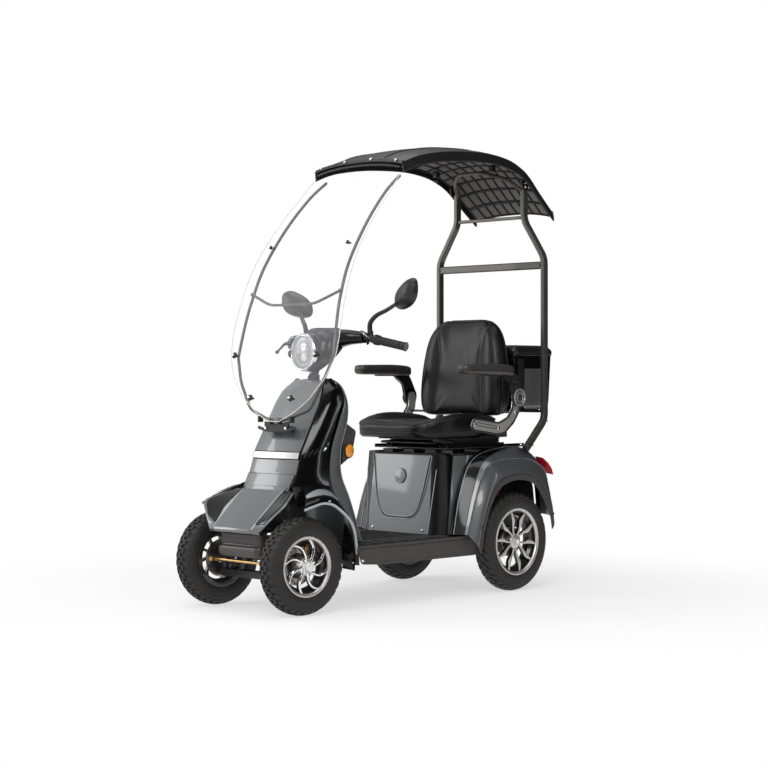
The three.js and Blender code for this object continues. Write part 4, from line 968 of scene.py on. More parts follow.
def glove_box():
    """The box on the rider's side, with its lid line, latch and two amber reflectors."""
    box_piece = Piece("glove_box_moulding", "chassis", "brown_plastic")
    profile = rounded(table([(-838, 722), (-762, 680), (-788, 580), (-846, 546)]), 12, 6)
    rings = []
    for x, inset in ((-150, 9), (-147, 3), (-136, 0), (136, 0), (147, 3), (150, 9)):
        middle = Vector((-815, 632))
        rings.append([V(x, *(middle + (p - middle) * (1 - inset / 90))) for p in profile])
    box_piece.add(loft(rings), BROWN)
    lid_edge = [V(x, y, z) for x, y, z in
                ((-132, -772, 676), (132, -772, 676), (132, -789, 596), (-132, -789, 596))]
    box_piece.add(tube(rounded([p + V(0, 4, 0) for p in lid_edge], 12, 5, True), 1.3, 8,
                       closed=True), DARK)
    box_piece.add(block(-20, 20, -782, -768, 604, 618, 3), SATIN)
    for side in (1, -1):
        spot = V(side * 150, -806, 601)
        cup = lathe([(0, 3), (27, 3), (29.5, 0), (29.5, -8), (0, -8)], 40)
        lens = lathe([(0, 9.5), (14, 8.8), (23, 6.5), (26, 3.5), (26, 2), (0, 2)], 40)
        box_piece.add(cup, SATIN, facing(spot, (side, 0.12, 0)))
        box_piece.add(lens, AMBER, facing(spot, (side, 0.12, 0)))
    box_piece.make(["glove_box"], bevel=0.8)


# ---- front fenders: arch edge and top line in Y and Z, from the front round to the flap ----
FRONT_ARCH = table([
    (-1180, 393), (-1130, 405), (-1082, 413), (-1033, 405), (-993, 382),
    (-952, 350), (-924, 308), (-912, 254), (-908, 200), (-912, 152)])
FRONT_ARCH_TOP = table([
    (-1080, 470), (-1060, 478), (-1030, 484), (-985, 482), (-950, 466),
    (-915, 430), (-888, 380), (-886, 330), (-909, 240), (-913, 156)])


def front_fender_grid():
    """The left fender, from its arch edge up to its top line."""
    rows = []
    for i, (low, top) in enumerate(zip(FRONT_ARCH, FRONT_ARCH_TOP)):
        inner = 178 if i < 5 else 182 + (i - 4) * 8
        rows.append([V(285, low[0], low[1]),
                     V(262, low[0] * 0.7 + top[0] * 0.3, low[1] + (top[1] - low[1]) * 0.42),
                     V(inner, top[0], top[1])])
    return fine(rows, 13, 46)


def front_fender(side):
    """A gloss-black fender with a grey rolled arch edge, a painted highlight band round the arch and
    a painted highlight streak along its shoulder.
    """
    grid = front_fender_grid()
    place = SIDE_PLACE[side]
    fender = Piece(f"front_fender_{SIDE_NAME[side]}_moulding", "chassis", "gloss_black")
    fender.add(sheet(grid, -SKIN), BLACK, place)
    arch = [surface(grid, 0, v / 60 * 0.86) for v in range(61)]
    # painted highlight band round the arch edge
    trim = [[p + V(1.5, 0, 0), p + V(3, 0, -0.5) + (p - V(285, -1120, 200)).normalized() * 9]
            for p in arch]
    fender.add(sheet(trim, 4), PAINTED_HIGHLIGHT_GREY, place)
    fender.add(tube([p + V(1.5, 0, 0) for p in arch], 3.0, 8), GREY, place)
    # painted highlight: a tapered lit streak along the shoulder
    blade = [[surface(grid, u, v) + V(2, -2, 1) for u in (0.52, 0.62, 0.72)]
             for v in (0.02, 0.12, 0.24, 0.36, 0.46)]
    narrow = fine(blade, 5, 14)
    for i, row in enumerate(narrow):
        taper = math.sin(math.pi * (0.08 + 0.84 * i / 13)) ** 0.7
        middle = row[2]
        narrow[i] = [middle.lerp(p, taper) for p in row]
    fender.add(sheet(narrow, 3), PAINTED_HIGHLIGHT_GREY, place)
    for v, u in ((0.3, 0.22), (0.62, 0.2), (0.8, 0.25), (0.94, 0.3)):
        fender.add(bolt(surface(grid, u, v) + V(1, 0, 1), (0.75, 0, 0.6), 5, 4), CHROME, place)
    fender.make([f"front_fender_{SIDE_NAME[side]}"], bevel=0.5)


nose_hood()
front_grille()
shield_panel()
shield_shell()
leg_shield()
glove_box()
front_fender(1)
front_fender(-1)


# ---- windscreen: its line in Y and Z from the roof down, and its half-width by height ----
SCREEN_LINE = table([
    (-607, 1696), (-632, 1674), (-685, 1617), (-745, 1555), (-803, 1488), (-870, 1401),
    (-911, 1332), (-946, 1259), (-969, 1197), (-995, 1114), (-1012, 1039), (-1026, 966),
    (-1050, 858), (-1060, 780), (-1072, 718)])
SCREEN_WIDTH = table([
    (712, 20), (756, 112), (807, 186), (887, 258), (966, 294), (1038, 300), (1100, 298),
    (1278, 285), (1523, 262), (1707, 245)])
SCREEN_THICKNESS = 3.0
ROD_LINE = [V(*p) for p in (
    (207, -593, 1690), (214, -685, 1617), (226, -803, 1488), (238, -911, 1332),
    (248, -969, 1197), (258, -1000, 1090), (268, -1026, 966), (230, -1046, 868),
    (165, -1052, 778), (60, -1066, 728), (0, -1070, 720))]
ROD_RADIUS = 6.0
ROD_SETBACK = V(0, 16, 0)


def screen_grid():
    """The sheet, bowed towards the front across its width."""
    shares = [j / 8 - 1 for j in range(17)]
    grid = []
    for y, z in spline(SCREEN_LINE, 70):
        half = row_at(SCREEN_WIDTH, z)[1]
        grid.append([V(u * half, y - 7 + 6 * u * u, z) for u in shares])
    return grid


def windscreen():
    screen = Piece("windscreen_sheet", "chassis", "clear_sheet")
    grid = screen_grid()
    screen.add(sheet(grid, SCREEN_THICKNESS), SCREEN)
    edge = [row[-1] for row in grid] + list(reversed([row[0] for row in grid]))
    # painted highlight round the sheet's edge
    screen.add(tube([p + V(0, 1.5, 0) for p in edge], 2.0, 8), SCREEN_RIM_HIGHLIGHT)
    screen.make(["windscreen"], sharp=60)


def knob(piece, point, body_radius=13):
    """A black hand knob with a bright screw in its middle, facing the front."""
    body = [(0, 12), (4, 12), (body_radius * 0.55, 11), (body_radius * 0.9, 7), (body_radius, 2),
            (body_radius * 0.9, 0), (0, 0)]
    place = facing(point, (0, -1, 0.25))
    piece.add(lathe(body, 24), SATIN, place)
    piece.add(lathe([(0, 15), (3.5, 14.5), (5, 12), (5, 9), (0, 9)], 16), CHROME, place)
    piece.add(lathe([(0, 0), (9, 0), (9, -2), (0, -2)], 20), CHROME, place)
    piece.add(rod(point + V(0, 2, 0), point + V(0, 16, -3), 4), SATIN)


def screen_frame():
    """The bent hoop behind the sheet, its cross brace, lower bracket and knobs."""
    hoop = Piece("windscreen_hoop", "chassis", "mast_paint")
    half = [p + ROD_SETBACK for p in ROD_LINE]
    upper = spline(half[:7], 40)
    lower = rounded([half[6], half[7], half[8] + V(4, 0, -14), half[9], half[10]], 26, 6)
    line = upper[:-1] + lower
    line = line + [flip(p) for p in reversed(line[:-1])]
    hoop.add(tube(line, ROD_RADIUS, 14), MAST_PAINT)
    brace = [V(246, -954, 1218), V(124, -972, 1171), V(-124, -972, 1171), V(-246, -954, 1218)]
    hoop.add(tube(rounded(brace, 34, 8), 5.5, 12), MAST_PAINT)
    for side in (1, -1):
        hoop.add(ball(V(side * 246, -954, 1218), 8, 14), MAST_PAINT)
    bracket = rounded(table([(-66, 718), (-66, 698), (-50, 690), (-44, 676), (44, 676), (50, 690),
                             (66, 698), (66, 718), (40, 712), (0, 708), (-40, 712)]), 4, 3, True)
    hoop.add(front_plate(bracket, -1056, -1047), SATIN)
    for x in (-56, 56):
        hoop.add(block(x - 7, x + 7, -1050, -1018, 678, 700, 3), SATIN)
        hoop.add(bolt(V(x, -1057, 692), (0, -1, 0), 7, 6), CHROME)
    for x in (-88, -24, 24, 88):
        clamp = V(x, -1062 + abs(x) * 0.06, 722 + abs(x) * 0.09)
        hoop.add(block(clamp.x - 6, clamp.x + 6, clamp.y - 10, clamp.y + 12, clamp.z - 16,
                       clamp.z + 8, 3), SATIN)
    hoop.add(bar([V(-104, -1052, 694), V(-60, -1056, 684), V(60, -1056, 684), V(104, -1052, 694)],
                 6, 12, V(0, 0, 1), 1), SATIN)
    for side in (1, -1):
        for place in (V(side * 229, -1062, 974), V(side * 114, -1084, 808),
                      V(side * 216, -880, 1408)):
            knob(hoop, place, 13 if place.z < 1000 else 8)
    hoop.make(["screen_frame"], bevel=0.5)


windscreen()
screen_frame()


# ---- handlebar, its cover, lamp, grips, levers and mirrors, all turned with the steering ----
BAR_POINTS = [V(352, -677, 995), V(205, -727, 1033), V(120, -768, 1042), V(0, -788, 1040)]
LAMP_CENTRE = V(0, -912, 987)


def column_point(z):
    """The point of the steering axis at one height."""
    return V(0, COLUMN_POINT.y + (z - COLUMN_POINT.z) * math.tan(COLUMN_RAKE), z)


def grip_point(side, share):
    """A point of the bar's straight end: share is 0 at the bend and 1 at the tip."""
    tip, bend = BAR_POINTS[:2]
    point = bend.lerp(tip, share)
    return point if side > 0 else flip(point)


def handlebar():
    bar_piece = Piece("handlebar_tube", "steering", "satin_black")
    line = BAR_POINTS + [flip(p) for p in reversed(BAR_POINTS[:-1])]
    bar_piece.add(tube(rounded(line, 34, 8), 11, 18), SATIN, STEERED)
    bar_piece.add(rod(column_point(1008), column_point(1052), 17), SATIN, STEERED)
    for side in (1, -1):
        perch = tube([grip_point(side, t) for t in (0.0, 0.02, 0.1, 0.13)], 16, 24,
                     [0.85, 1, 1, 0.85])
        bar_piece.add(perch, SATIN, STEERED)
        root = grip_point(side, 0.06)
        arm = tube([root, root + V(side * 4, -22, 3), root + V(side * 12, -46, 5)], 8, 14,
                   [1.2, 1, 0.9])
        bar_piece.add(arm, SATIN, STEERED)
        bar_piece.add(bolt(root + V(side * 12, -46, 14), (0, 0, 1), 5.5, 5), CHROME, STEERED)
        housing = tube([grip_point(side, t) for t in (0.1, 0.12, 0.18, 0.195)], 21, 24,
                       [0.9, 1, 1, 0.88])
        bar_piece.add(housing, SATIN, STEERED)
    bar_piece.make(["handlebar"], bevel=0.6)


def steering_column():
    column = Piece("steering_column_detailed", "steering", "steel")
    column.add(rod(column_point(300), column_point(1006), 14.5, 20), STEEL, STEERED)
    column.add(block(-12, 12, -1150, -1062, 290, 304, 6), STEEL, STEERED)
    ribs = [rod(column_point(812 + 14 * k), column_point(821 + 14 * k), 27 - 0.5 * k, 28,
                25.5 - 0.5 * k) for k in range(6)]
    column.add(merged(*ribs), GRIP, STEERED)
    column.add(rod(column_point(815), column_point(900), 24, 24, 21), GRIP, STEERED)
    column.make(["steering_column"], bevel=0.6)


def oval_ring(centre, normal_y, width, height):
    """An upright oval ring; normal_y leans it about X."""
    return [V(centre.x + p.x, centre.y + p.y * normal_y, centre.z + p.y)
            for p in ring_outline(width, height, 0.85, 40)]


def bar_cover():
    cover = Piece("handlebar_cover", "steering", "gloss_black")
    pod_rows = table([
        (-876, 990, 70, 70), (-868, 991, 80, 79), (-845, 996, 94, 86), (-812, 1008, 101, 76),
        (-780, 1024, 99, 60), (-756, 1036, 86, 44), (-742, 1042, 60, 26)])
    pod = [oval_ring(V(0, y, z), 0.12, w, h) for y, z, w, h in spline(pod_rows, 22)]
    cover.add(loft(pod), BLACK, STEERED)
    arm_rows = table([(60, -796, 1036, 44, 40), (96, -786, 1039, 40, 35), (130, -770, 1041, 35, 29),
                      (164, -751, 1039, 29, 24), (190, -738, 1036, 24, 19)])
    for side in (1, -1):
        rings = []
        for x, y, z, deep, tall in spline(arm_rows, 12):
            rings.append([V(side * x, y + p.x, z + p.y)
                          for p in ring_outline(deep, tall, 0.85, 28)])
        cover.add(loft(rings), BLACK, STEERED)
        root = grip_point(side, 0.02)
        guard = spline([root + V(side * dx, dy, dz) for dx, dy, dz in
                        ((-34, -28, 24), (-8, -48, 22), (24, -56, 12), (38, -50, -6),
                         (20, -44, -20))], 14)
        blade = sweep(guard, [(-3, -9), (2, -10), (4, 0), (2, 10), (-3, 9)],
                      [0.7 + 0.5 * math.sin(math.pi * k / 13) for k in range(14)], up=V(0, 0, 1))
        cover.add(blade, BLACK, STEERED)
        cover.add(tube([p + V(side * 2, -5, 4) for p in guard], 1.6, 8), CHROME, STEERED)
    dash = [oval_ring(V(0, -770 + 8 * k, 1071 - 5 * k), 1.6, 58 - 6 * k, 15 - 2 * k)
            for k in range(3)]
    cover.add(loft(dash), SATIN, STEERED)
    cover.add(tube(oval_ring(V(0, -846, 996), 0.12, 95.5, 86.5), 1.3, 8, closed=True), DARK,
              STEERED)
    cover.make(["bar_cover"], bevel=0.5)


def headlight():
    lamp = Piece("headlight_lamp", "steering", "chrome")
    place = STEERED @ facing(LAMP_CENTRE + V(0, 36, 0), (0, -1, 0))
    lamp.add(lathe([(0, 0), (66, 0), (72, 8), (74.5, 18), (74.5, 28), (70, 33), (66, 34.5),
                    (64, 31), (64, 14), (0, 10)], 72), CHROME, place)
    lamp.add(lathe([(0, 11), (40, 12), (62, 18), (63.5, 26), (60, 22), (40, 15), (0, 14)], 64),
             STEEL, place)
    lamp.add(lathe([(47, 16), (49, 27), (51, 28), (53, 27), (55, 18)], 64), CHROME, place)
    for turn in (45, 135):
        angle = math.radians(turn)
        reach = V(0, 40 * math.cos(angle), 40 * math.sin(angle))
        lamp.add(bar([V(20, 0, 0) - reach, V(20, 0, 0) + reach], 7, 12, V(1, 0, 0), 1.5), SATIN,
                 place)
    for z in (18, -18):
        lamp.add(lathe([(0, 13), (12, 14), (17, 22), (14, 27), (0, 30)], 40), LAMP_WHITE,
                 place @ Matrix.Translation(V(0, 0, z)))
        lamp.add(lathe([(16.5, 20), (19, 26), (21, 20)], 40), CHROME,
                 place @ Matrix.Translation(V(0, 0, z)))
    dome = [(65, 30), (60, 33.5), (45, 36.5), (25, 38), (0, 38.6), (0, 36.6), (25, 36),
            (45, 34.5), (60, 31.5), (64, 29)]
    lamp.add(lathe(dome, 64), LAMP_GLASS, place)
    lamp.make(["headlight"], bevel=0.4)


def ribbed_grip(name, body, side, node):
    grip = Piece(name, body, "mat_rubber")
    start, end = grip_point(side, 0.2), grip_point(side, 0.995)
    count = 61
    ribs = []
    for k in range(count):
        share = k / (count - 1)
        if share < 0.06:
            ribs.append(1.22)
        elif share > 0.95:
            ribs.append(1.12)
        else:
            ribs.append(1.0 + 0.045 * math.cos(math.tau * share * 17))
    line = [start.lerp(end, k / (count - 1)) for k in range(count)]
    grip.add(tube(line, 16.4, 28, ribs), GRIP, STEERED)
    out = (end - start).normalized()
    grip.add(lathe([(0, 6), (8, 5.6), (14, 3.5), (16.5, 0), (16.5, -6), (0, -6)], 32), LINER,
             STEERED @ facing(end, out))
    grip.make([node])


def brake_lever(side):
    name = f"brake_lever_{SIDE_NAME[side]}"
    lever = Piece(f"{name}_blade", name, "satin_black")
    root = grip_point(side, 0.06) + V(side * 14, -46, 7)
    path = spline([root, root + V(side * 34, -14, -6), root + V(side * 90, 8, -20),
                   root + V(side * 142, 30, -34)], 18)
    section = ring_outline(4.2, 7.2, count=12)
    scales = [1.25 - 0.45 * math.sin(math.pi * k / 34) for k in range(18)]
    lever.add(sweep(path, section, scales, up=V(0, 0, 1)), SATIN, STEERED)
    lever.add(ball(path[-1], 8.5, 20), SATIN, STEERED)
    lever.add(rod(root + V(-side * 2, 0, -9), root + V(-side * 2, 0, 9), 8.5, 20), SATIN, STEERED)
    lever.make([name], bevel=0.4)


def mirror(side):
    name = f"mirror_{SIDE_NAME[side]}"
    piece = Piece(f"{name}_head", name, "satin_black")
    stalk = spline([V(side * x, y, z) for x, y, z in
                    ((197, -724, 1052), (199, -726, 1092), (225, -716, 1122), (262, -694, 1142),
                     (296, -668, 1168))], 26)
    piece.add(tube(stalk, 8, 14, [1.3 - 0.4 * k / 25 for k in range(26)]), SATIN, STEERED)
    piece.add(rod(V(side * 197, -724, 1046), V(side * 197, -724, 1062), 12, 20), SATIN, STEERED)
    piece.add(moved(prism(ring_outline(9, 9, 1, 6), 8, Matrix.Identity(4)),
                    Matrix.Translation(V(side * 197, -724, 1058))), STEEL, STEERED)

    def ring(y, scale):
        out = []
        for p in ring_outline(82 * scale, 58 * scale, 0.82, 44):
            lean = 0.74 + 0.26 * (p.x / 82 + 1) / 2
            out.append(V(side * (336 + p.x * 0.9), y - 0.18 * p.x,
                         1198 + p.y * lean + p.x * 0.3))
        return out

    shell = [(-690, 0.2), (-687, 0.45), (-680, 0.75), (-670, 0.92), (-658, 0.99), (-649, 1.0),
             (-646, 0.985), (-646.5, 0.94), (-650, 0.93)]
    piece.add(loft([ring(y, scale) for y, scale in shell]), SATIN, STEERED)
    piece.add(loft([ring(-650.5, 0.93), ring(-648.6, 0.925), ring(-648.2, 0.9)]), MIRROR, STEERED)
    piece.add(ball(V(side * 298, -670, 1172), 11, 20), SATIN, STEERED)
    piece.make([name], bevel=0.4)


handlebar()
steering_column()
bar_cover()
headlight()
ribbed_grip("left_grip_rubber", "steering", 1, "grip_left")
ribbed_grip("throttle_grip_rubber", "throttle", -1, "throttle_grip")
for part_side in (1, -1):
    brake_lever(part_side)
    mirror(part_side)


# ---- mast: two bent square tubes with cross bars ----
MAST_X = 297


def post_line(side):
    return [V(side * x, y, z) for x, y, z in
            ((MAST_X, 102, 583), (MAST_X, 231, 709), (MAST_X, 230, 1399), (190, 226, 1565),
             (190, 226, 1700))]


def mast():
    frame_piece = Piece("mast_tubes", "chassis", "mast_paint")
    for side in (1, -1):
        post = rounded(post_line(side), 30, 8)
        frame_piece.add(sweep(post, [(p.x, p.y) for p in rectangle(-15, 15, -10, 10, 4, 3)],
                              up=V(1, 0, 0)), MAST_PAINT)
        for z in (1364, 1372):
            frame_piece.add(bolt(V(side * (MAST_X - 12), 214, z), (0, -1, 0), 3, 2), STEEL)
        plate = block(side * MAST_X - 15, side * MAST_X + 15, 62, 142, 598, 604, 6)
        frame_piece.add(plate, MAST_PAINT)
        gusset = [(118, 604), (138, 604), (138, 612), (150, 634), (140, 640), (120, 616)]
        frame_piece.add(side_plate(table(gusset), side * MAST_X - 3, side * MAST_X + 3),
                        MAST_PAINT)
        for y in (74, 130):
            frame_piece.add(bolt(V(side * MAST_X, y, 604), (0, 0, 1), 7, 6), CHROME)
        cap = block(side * MAST_X - 11, side * MAST_X + 11, 216, 246, 700, 704, 3)
        frame_piece.add(cap, MAST_PAINT)
    frame_piece.add(bar([V(-289, 227, 1367), V(289, 227, 1367)], 24, 32, V(0, 0, 1), 4),
                    MAST_PAINT)
    frame_piece.add(bar([V(-186, 225, 1577), V(186, 225, 1577)], 14, 14, V(0, 0, 1), 2),
                    MAST_PAINT)
    for side in (1, -1):
        weld = [V(side * 287, 227 + p.x, 1367 + p.y) for p in ring_outline(14, 18, count=20)]
        frame_piece.add(tube(weld, 1.8, 8, closed=True), MAST_PAINT)
    hoop = [V(*p) for p in ((-186, 222, 1690), (-150, 160, 1738), (-70, 92, 1768),
                            (70, 92, 1768), (150, 160, 1738), (186, 222, 1690))]
    frame_piece.add(tube(rounded(hoop, 34, 7), 8, 14), MAST_PAINT)
    frame_piece.make(["mast"], bevel=0.8)


# ---- roof: y, z of the side, half-width and crown above the side, from front to rear ----
ROOF_ROWS = table([
    (-604, 1738, 245, 22), (-530, 1766, 245, 26), (-455, 1785, 244, 28), (-330, 1805, 242, 30),
    (-200, 1816, 240, 30), (-60, 1820, 238, 30), (60, 1808, 235, 28), (140, 1785, 232, 26),
    (209, 1750, 229, 24), (289, 1685, 224, 22), (386, 1610, 218, 20)])
ROOF_SKIN = 4.0


def roof_point(row, share, drop=0.0):
    """share runs from -1 at the right side to 1 at the left one."""
    y, z, w, crown = row
    return V(share * (w - drop), y, z + crown * (1 - abs(share) ** 2.4) - drop)


def roof_shell():
    """The bowed shell with its turned-down sides, creases, front strip and side plates."""
    roof = Piece("roof_canopy", "chassis", "satin_black")
    rows = spline(ROOF_ROWS, 44)
    shares = [math.sin(math.pi / 2 * k / 10) for k in range(11)]
    grid = []
    for row in rows:
        y, z, w, _ = row
        half = [roof_point(row, s) for s in shares]
        half += [V(w + 2, y, z - 8), V(w + 3, y + 2, z - 22), V(w + 3, y + 4, z - 38)]
        grid.append(whole(half))
    roof.add(sheet(grid, ROOF_SKIN), SATIN)
    roof.add(both(tube([row[-1] for row in grid], 3.2, 10)), SATIN)
    for k in (-0.5, 0.5):
        crease = [roof_point(row, k) + V(0, 0, 1.5) for row in rows]
        roof.add(bar(crease, 9, 3.4, V(0, 0, 1), 1.2), SATIN)
    strip_rows = [rows[0], rows[0] * 0.55 + rows[1] * 0.45, rows[1]]
    strip = [[roof_point(row, k / 10 - 1) + V(0, -2, 4) for k in range(21)] for row in strip_rows]
    strip[0] = [p + V(0, -3, -10) for p in strip[0]]
    roof.add(sheet(strip, 4), SATIN)
    for share in (-0.86, -0.3, 0.3, 0.86):
        roof.add(bolt(roof_point(strip_rows[1], share) + V(0, -6, 2), (0, -0.8, 0.6), 6.5, 5),
                 CHROME)
    tail = [V(p.x, p.y + 1, p.z) for p in grid[-1]]
    roof.add(tube(tail, 3.4, 10), SATIN)
    for side in (1, -1):
        plate = rounded(table([(196, 1696), (244, 1696), (266, 1716), (256, 1728), (214, 1742),
                               (190, 1728)]), 6, 3, True)
        x = side * 204
        roof.add(side_plate(plate, x - 2.5, x + 2.5), SATIN)
        for y, z in ((214, 1706), (214, 1722), (238, 1706)):
            roof.add(bolt(V(x + side * 2.5, y, z), (side, 0, 0), 5.5, 4), CHROME)
    roof.make(["roof_shell"], bevel=0.6)


def roof_liner():
    """The underside: square padded cells between raised ribs."""
    liner = Piece("roof_liner_cells", "chassis", "brown_plastic")
    rows = spline(ROOF_ROWS, 34)
    base = [[roof_point(row, k / 12 - 1, 13) for k in range(25)] for row in rows]
    liner.add(sheet(base, 3), DARK)
    across, along = 9, 15
    pads, ribs = [], []
    for i in range(along):
        for j in range(across):
            u0, u1 = (j + 0.1) / across, (j + 0.9) / across
            v0, v1 = (i + 0.1) / along, (i + 0.9) / along
            ring = rounded([surface(base, u, v) for u, v in
                            ((u0, v0), (u1, v0), (u1, v1), (u0, v1))], 6, 2, True)
            centre = sum(ring, V(0, 0, 0)) / len(ring)
            pads.append(loft([ring, [p - V(0, 0, 3) for p in ring],
                              [centre.lerp(p, 0.82) - V(0, 0, 6) for p in ring]]))
    for j in range(across + 1):
        ribs.append(bar([surface(base, j / across, k / 24) + V(0, 0, -4) for k in range(25)], 4,
                        9, V(0, 0, 1), 1))
    for i in range(along + 1):
        ribs.append(bar([surface(base, k / 16, i / along) + V(0, 0, -4) for k in range(17)], 4, 9,
                        V(0, 0.3, 1), 1))
    liner.add(merged(*pads), LINER)
    liner.add(merged(*ribs), SATIN)
    for x in (-168, 150):
        clip = V(x, 60, 1752)
        liner.add(block(x - 12, x + 12, 48, 72, 1762, 1790, 5), SATIN)
        liner.add(rod(clip + V(-9, 0, -6), clip + V(9, 0, -6), 7), SATIN)
    liner.make(["roof_liner"], bevel=0.4)


# ---- rear luggage box ----
BOX_ROWS = table([(748, 186, 168, 392), (760, 191, 161, 399), (780, 196, 156, 404),
                  (880, 200, 153, 407), (988, 204, 150, 410)])
LID_ROWS = table([(988.6, 206, 148, 413), (1000, 207, 142, 413), (1010, 203, 143, 408),
                  (1020, 194, 148, 396), (1026.6, 176, 162, 376)])


def box_ring(row, inset=0.0):
    """The box's outline at one row, moved inwards by the inset."""
    z, w, y0, y1 = row
    return [V(p.x, p.y, z) for p in
            rectangle(-w + inset, w - inset, y0 + inset, y1 - inset, 30, 6)]


def rear_box():
    """The open tub with its side panels, straps, ribs, shelf and latch."""
    box_piece = Piece("rear_box_tub", "chassis", "gloss_black")
    rows = spline(BOX_ROWS, 14)
    outer = [box_ring(row) for row in rows]
    inner = [box_ring(row, 4) for row in rows[1:]]
    box_piece.add(loft(outer + list(reversed(inner))), BLACK)
    rim = box_ring(rows[-1] + Vector((-3, 1, -1, 1)))
    box_piece.add(tube(rim, 3, 8, closed=True), BLACK)
    for side in (1, -1):
        panel = [[V(side * (w + 0.8), y, z) for y in (216, 262, 308, 352)]
                 for z, w, _, _ in rows[3:12:2]]
        box_piece.add(sheet(panel, 2.0), GREY)
        strap = [V(side * (w + 2.5), 188, z) for z, w, _, _ in rows[2:13]]
        box_piece.add(bar(strap, 36, 3, V(side, 0, 0), 1), SATIN)
        box_piece.add(block(side * 202 - 5, side * 202 + 5, 170, 206, 944, 968, 3), SATIN)
    for x in (-110, 110):
        rib = [V(x, y1 + 1, z) for z, _, _, y1 in rows[2:13]]
        box_piece.add(bar(rib, 26, 5, V(0, 1, 0), 2), BLACK)
    box_piece.add(block(-190, 190, 216, 380, 738, 748, 10), SATIN)
    for side in (1, -1):
        box_piece.add(block(*sorted((side * 186, side * 286)), 222, 240, 738, 748, 2), SATIN)
        box_piece.add(bolt(V(side * 270, 231, 748), (0, 0, 1), 6, 5), CHROME)
    box_piece.add(block(-22, 22, 410, 418, 950, 986, 4), SATIN)
    box_piece.add(moved(lathe([(0, 3), (7, 3), (9, 0), (0, 0)], 24),
                        facing(V(0, 418, 966), (0, 1, 0))), CHROME)
    box_piece.make(["rear_box"], bevel=0.8)


def rear_box_lid():
    lid = Piece("rear_box_cover", "box_lid", "satin_black")
    rows = spline(LID_ROWS, 14)
    inner = [box_ring(row, 5) for row in rows[:-3]]
    lid.add(loft([box_ring(row) for row in reversed(rows)] + inner), SATIN)
    for x in (-90, 0, 90):
        lid.add(bar([V(x, 186, 1026.6), V(x, 352, 1026.6)], 18, 2.0, V(0, 0, 1), 0.6), SATIN)
    lid.add(block(-24, 24, 411, 417, 990, 1004, 3), SATIN)
    lid.make(["rear_box_lid"], bevel=0.6)


mast()
roof_shell()
roof_liner()
rear_box()
rear_box_lid()


# ---- battery housing: grey front and sides, gloss-black corners, dark deck cover ----
HOUSING_FOOT, HOUSING_TOP = 248, 568
HOUSING_RISE = HOUSING_TOP - HOUSING_FOOT
HOUSING_FRONT_NORMAL = (0, -0.994, 0.112)
CHARGE_PORT_Z = 481


def housing_lean(z):
    """How far the front face leans back at one height."""
    return 36 * (z - HOUSING_FOOT) / HOUSING_RISE


def housing_front(x, z, out=0.0):
    """A point of the housing's leaning front face, moved out towards the front."""
    return V(x, -372 + housing_lean(z) - out, z)


def housing_profile(z):
    """The left half outline at one height, from the middle of the front to the back."""
    t, lean = (z - HOUSING_FOOT) / HOUSING_RISE, housing_lean(z)
    w = 192 - 16 * t
    return {"front": [V(0, -372 + lean, z), V((w - 14) * 0.6, -372 + lean, z),
                      V(w - 14, -371 + lean, z)],
            "corner": [V(w - 14, -371 + lean, z), V(w - 4, -366 + lean, z),
                       V(w + 6, -354 + lean, z), V(w + 22, -342 + lean, z),
                       V(232, -334 + lean, z), V(237, -326 + lean, z)],
            "side": [V(237, -326 + lean, z), V(240, -316 + lean + 12 * t, z),
                     V(244, -310 + lean + 70 * t, z), V(246, -300 + lean + 96 * t, z),
                     V(232, -288 + lean + 110 * t, z)],
            "rear": [V(196, -286 + 60 * t, z), V(196, 205, z), V(0, 205, z)]}


def battery_housing():
    """The skirt under the seat, with its top cover, seams, painted highlight lines and bolts."""
    housing = Piece("battery_housing_shell", "chassis", "grey_paint")
    heights = [HOUSING_FOOT + HOUSING_RISE * i / 8 for i in range(9)]
    rows = {key: [housing_profile(z)[key] for z in heights]
            for key in ("front", "corner", "side", "rear")}
    housing.add(sheet([whole(row) for row in rows["front"]], 4), GREY)
    housing.add(both(sheet(rows["corner"], 4)), BLACK)
    housing.add(both(sheet(rows["side"], 4)), GREY)
    housing.add(both(sheet(rows["rear"], 4)), SATIN)
    for index in (0, -1):
        line = [row[index] for row in rows["corner"]]
        housing.add(both(tube(line, 1.6, 8)), DARK)
    # painted highlight lines: one down each black corner, one down each side panel
    shine = [V(170 + 24 * t, -373 + 29 * t, 250 + 262 * t) for t in (0, 0.3, 0.7, 1)]
    housing.add(both(tube(shine, 1.7, 8)), PAINTED_HIGHLIGHT_GREY)
    housing.add(both(tube([row[2] + V(1, -1, 0) for row in rows["side"]], 1.2, 8)), PAINTED_HIGHLIGHT_GREY)
    top = [p for part in housing_profile(HOUSING_TOP).values() for p in part]
    outline = [flip(p) for p in reversed(top[1:-1])] + top[:-1]
    housing.add(loft([[V(p.x, p.y, z) for p in outline] for z in (564, 572)]), BLACK)
    rim = [V(p.x * 0.985, p.y + 2, 574) for p in outline]
    housing.add(tube(rim, 4, 8, closed=True), BLACK)
    for x in (-140, 140):
        housing.add(bolt(housing_front(x, 262, -1), (0, -1, 0.1), 6, 4), CHROME)
    for x in (-262, 262):
        housing.add(bolt(V(x, -284, 261), (0.3, -1, 0), 6, 5), STEEL)
    for x in (-120, 0, 120):
        housing.add(block(x - 30, x + 30, -300, -262, 574, 590, 5), SATIN)
    housing.make(["battery_housing"], bevel=0.7, sharp=40)


PANEL_U = [(158, 562), (150, 520), (133, 430), (120, 385), (106, 348), (82, 320), (52, 311)]


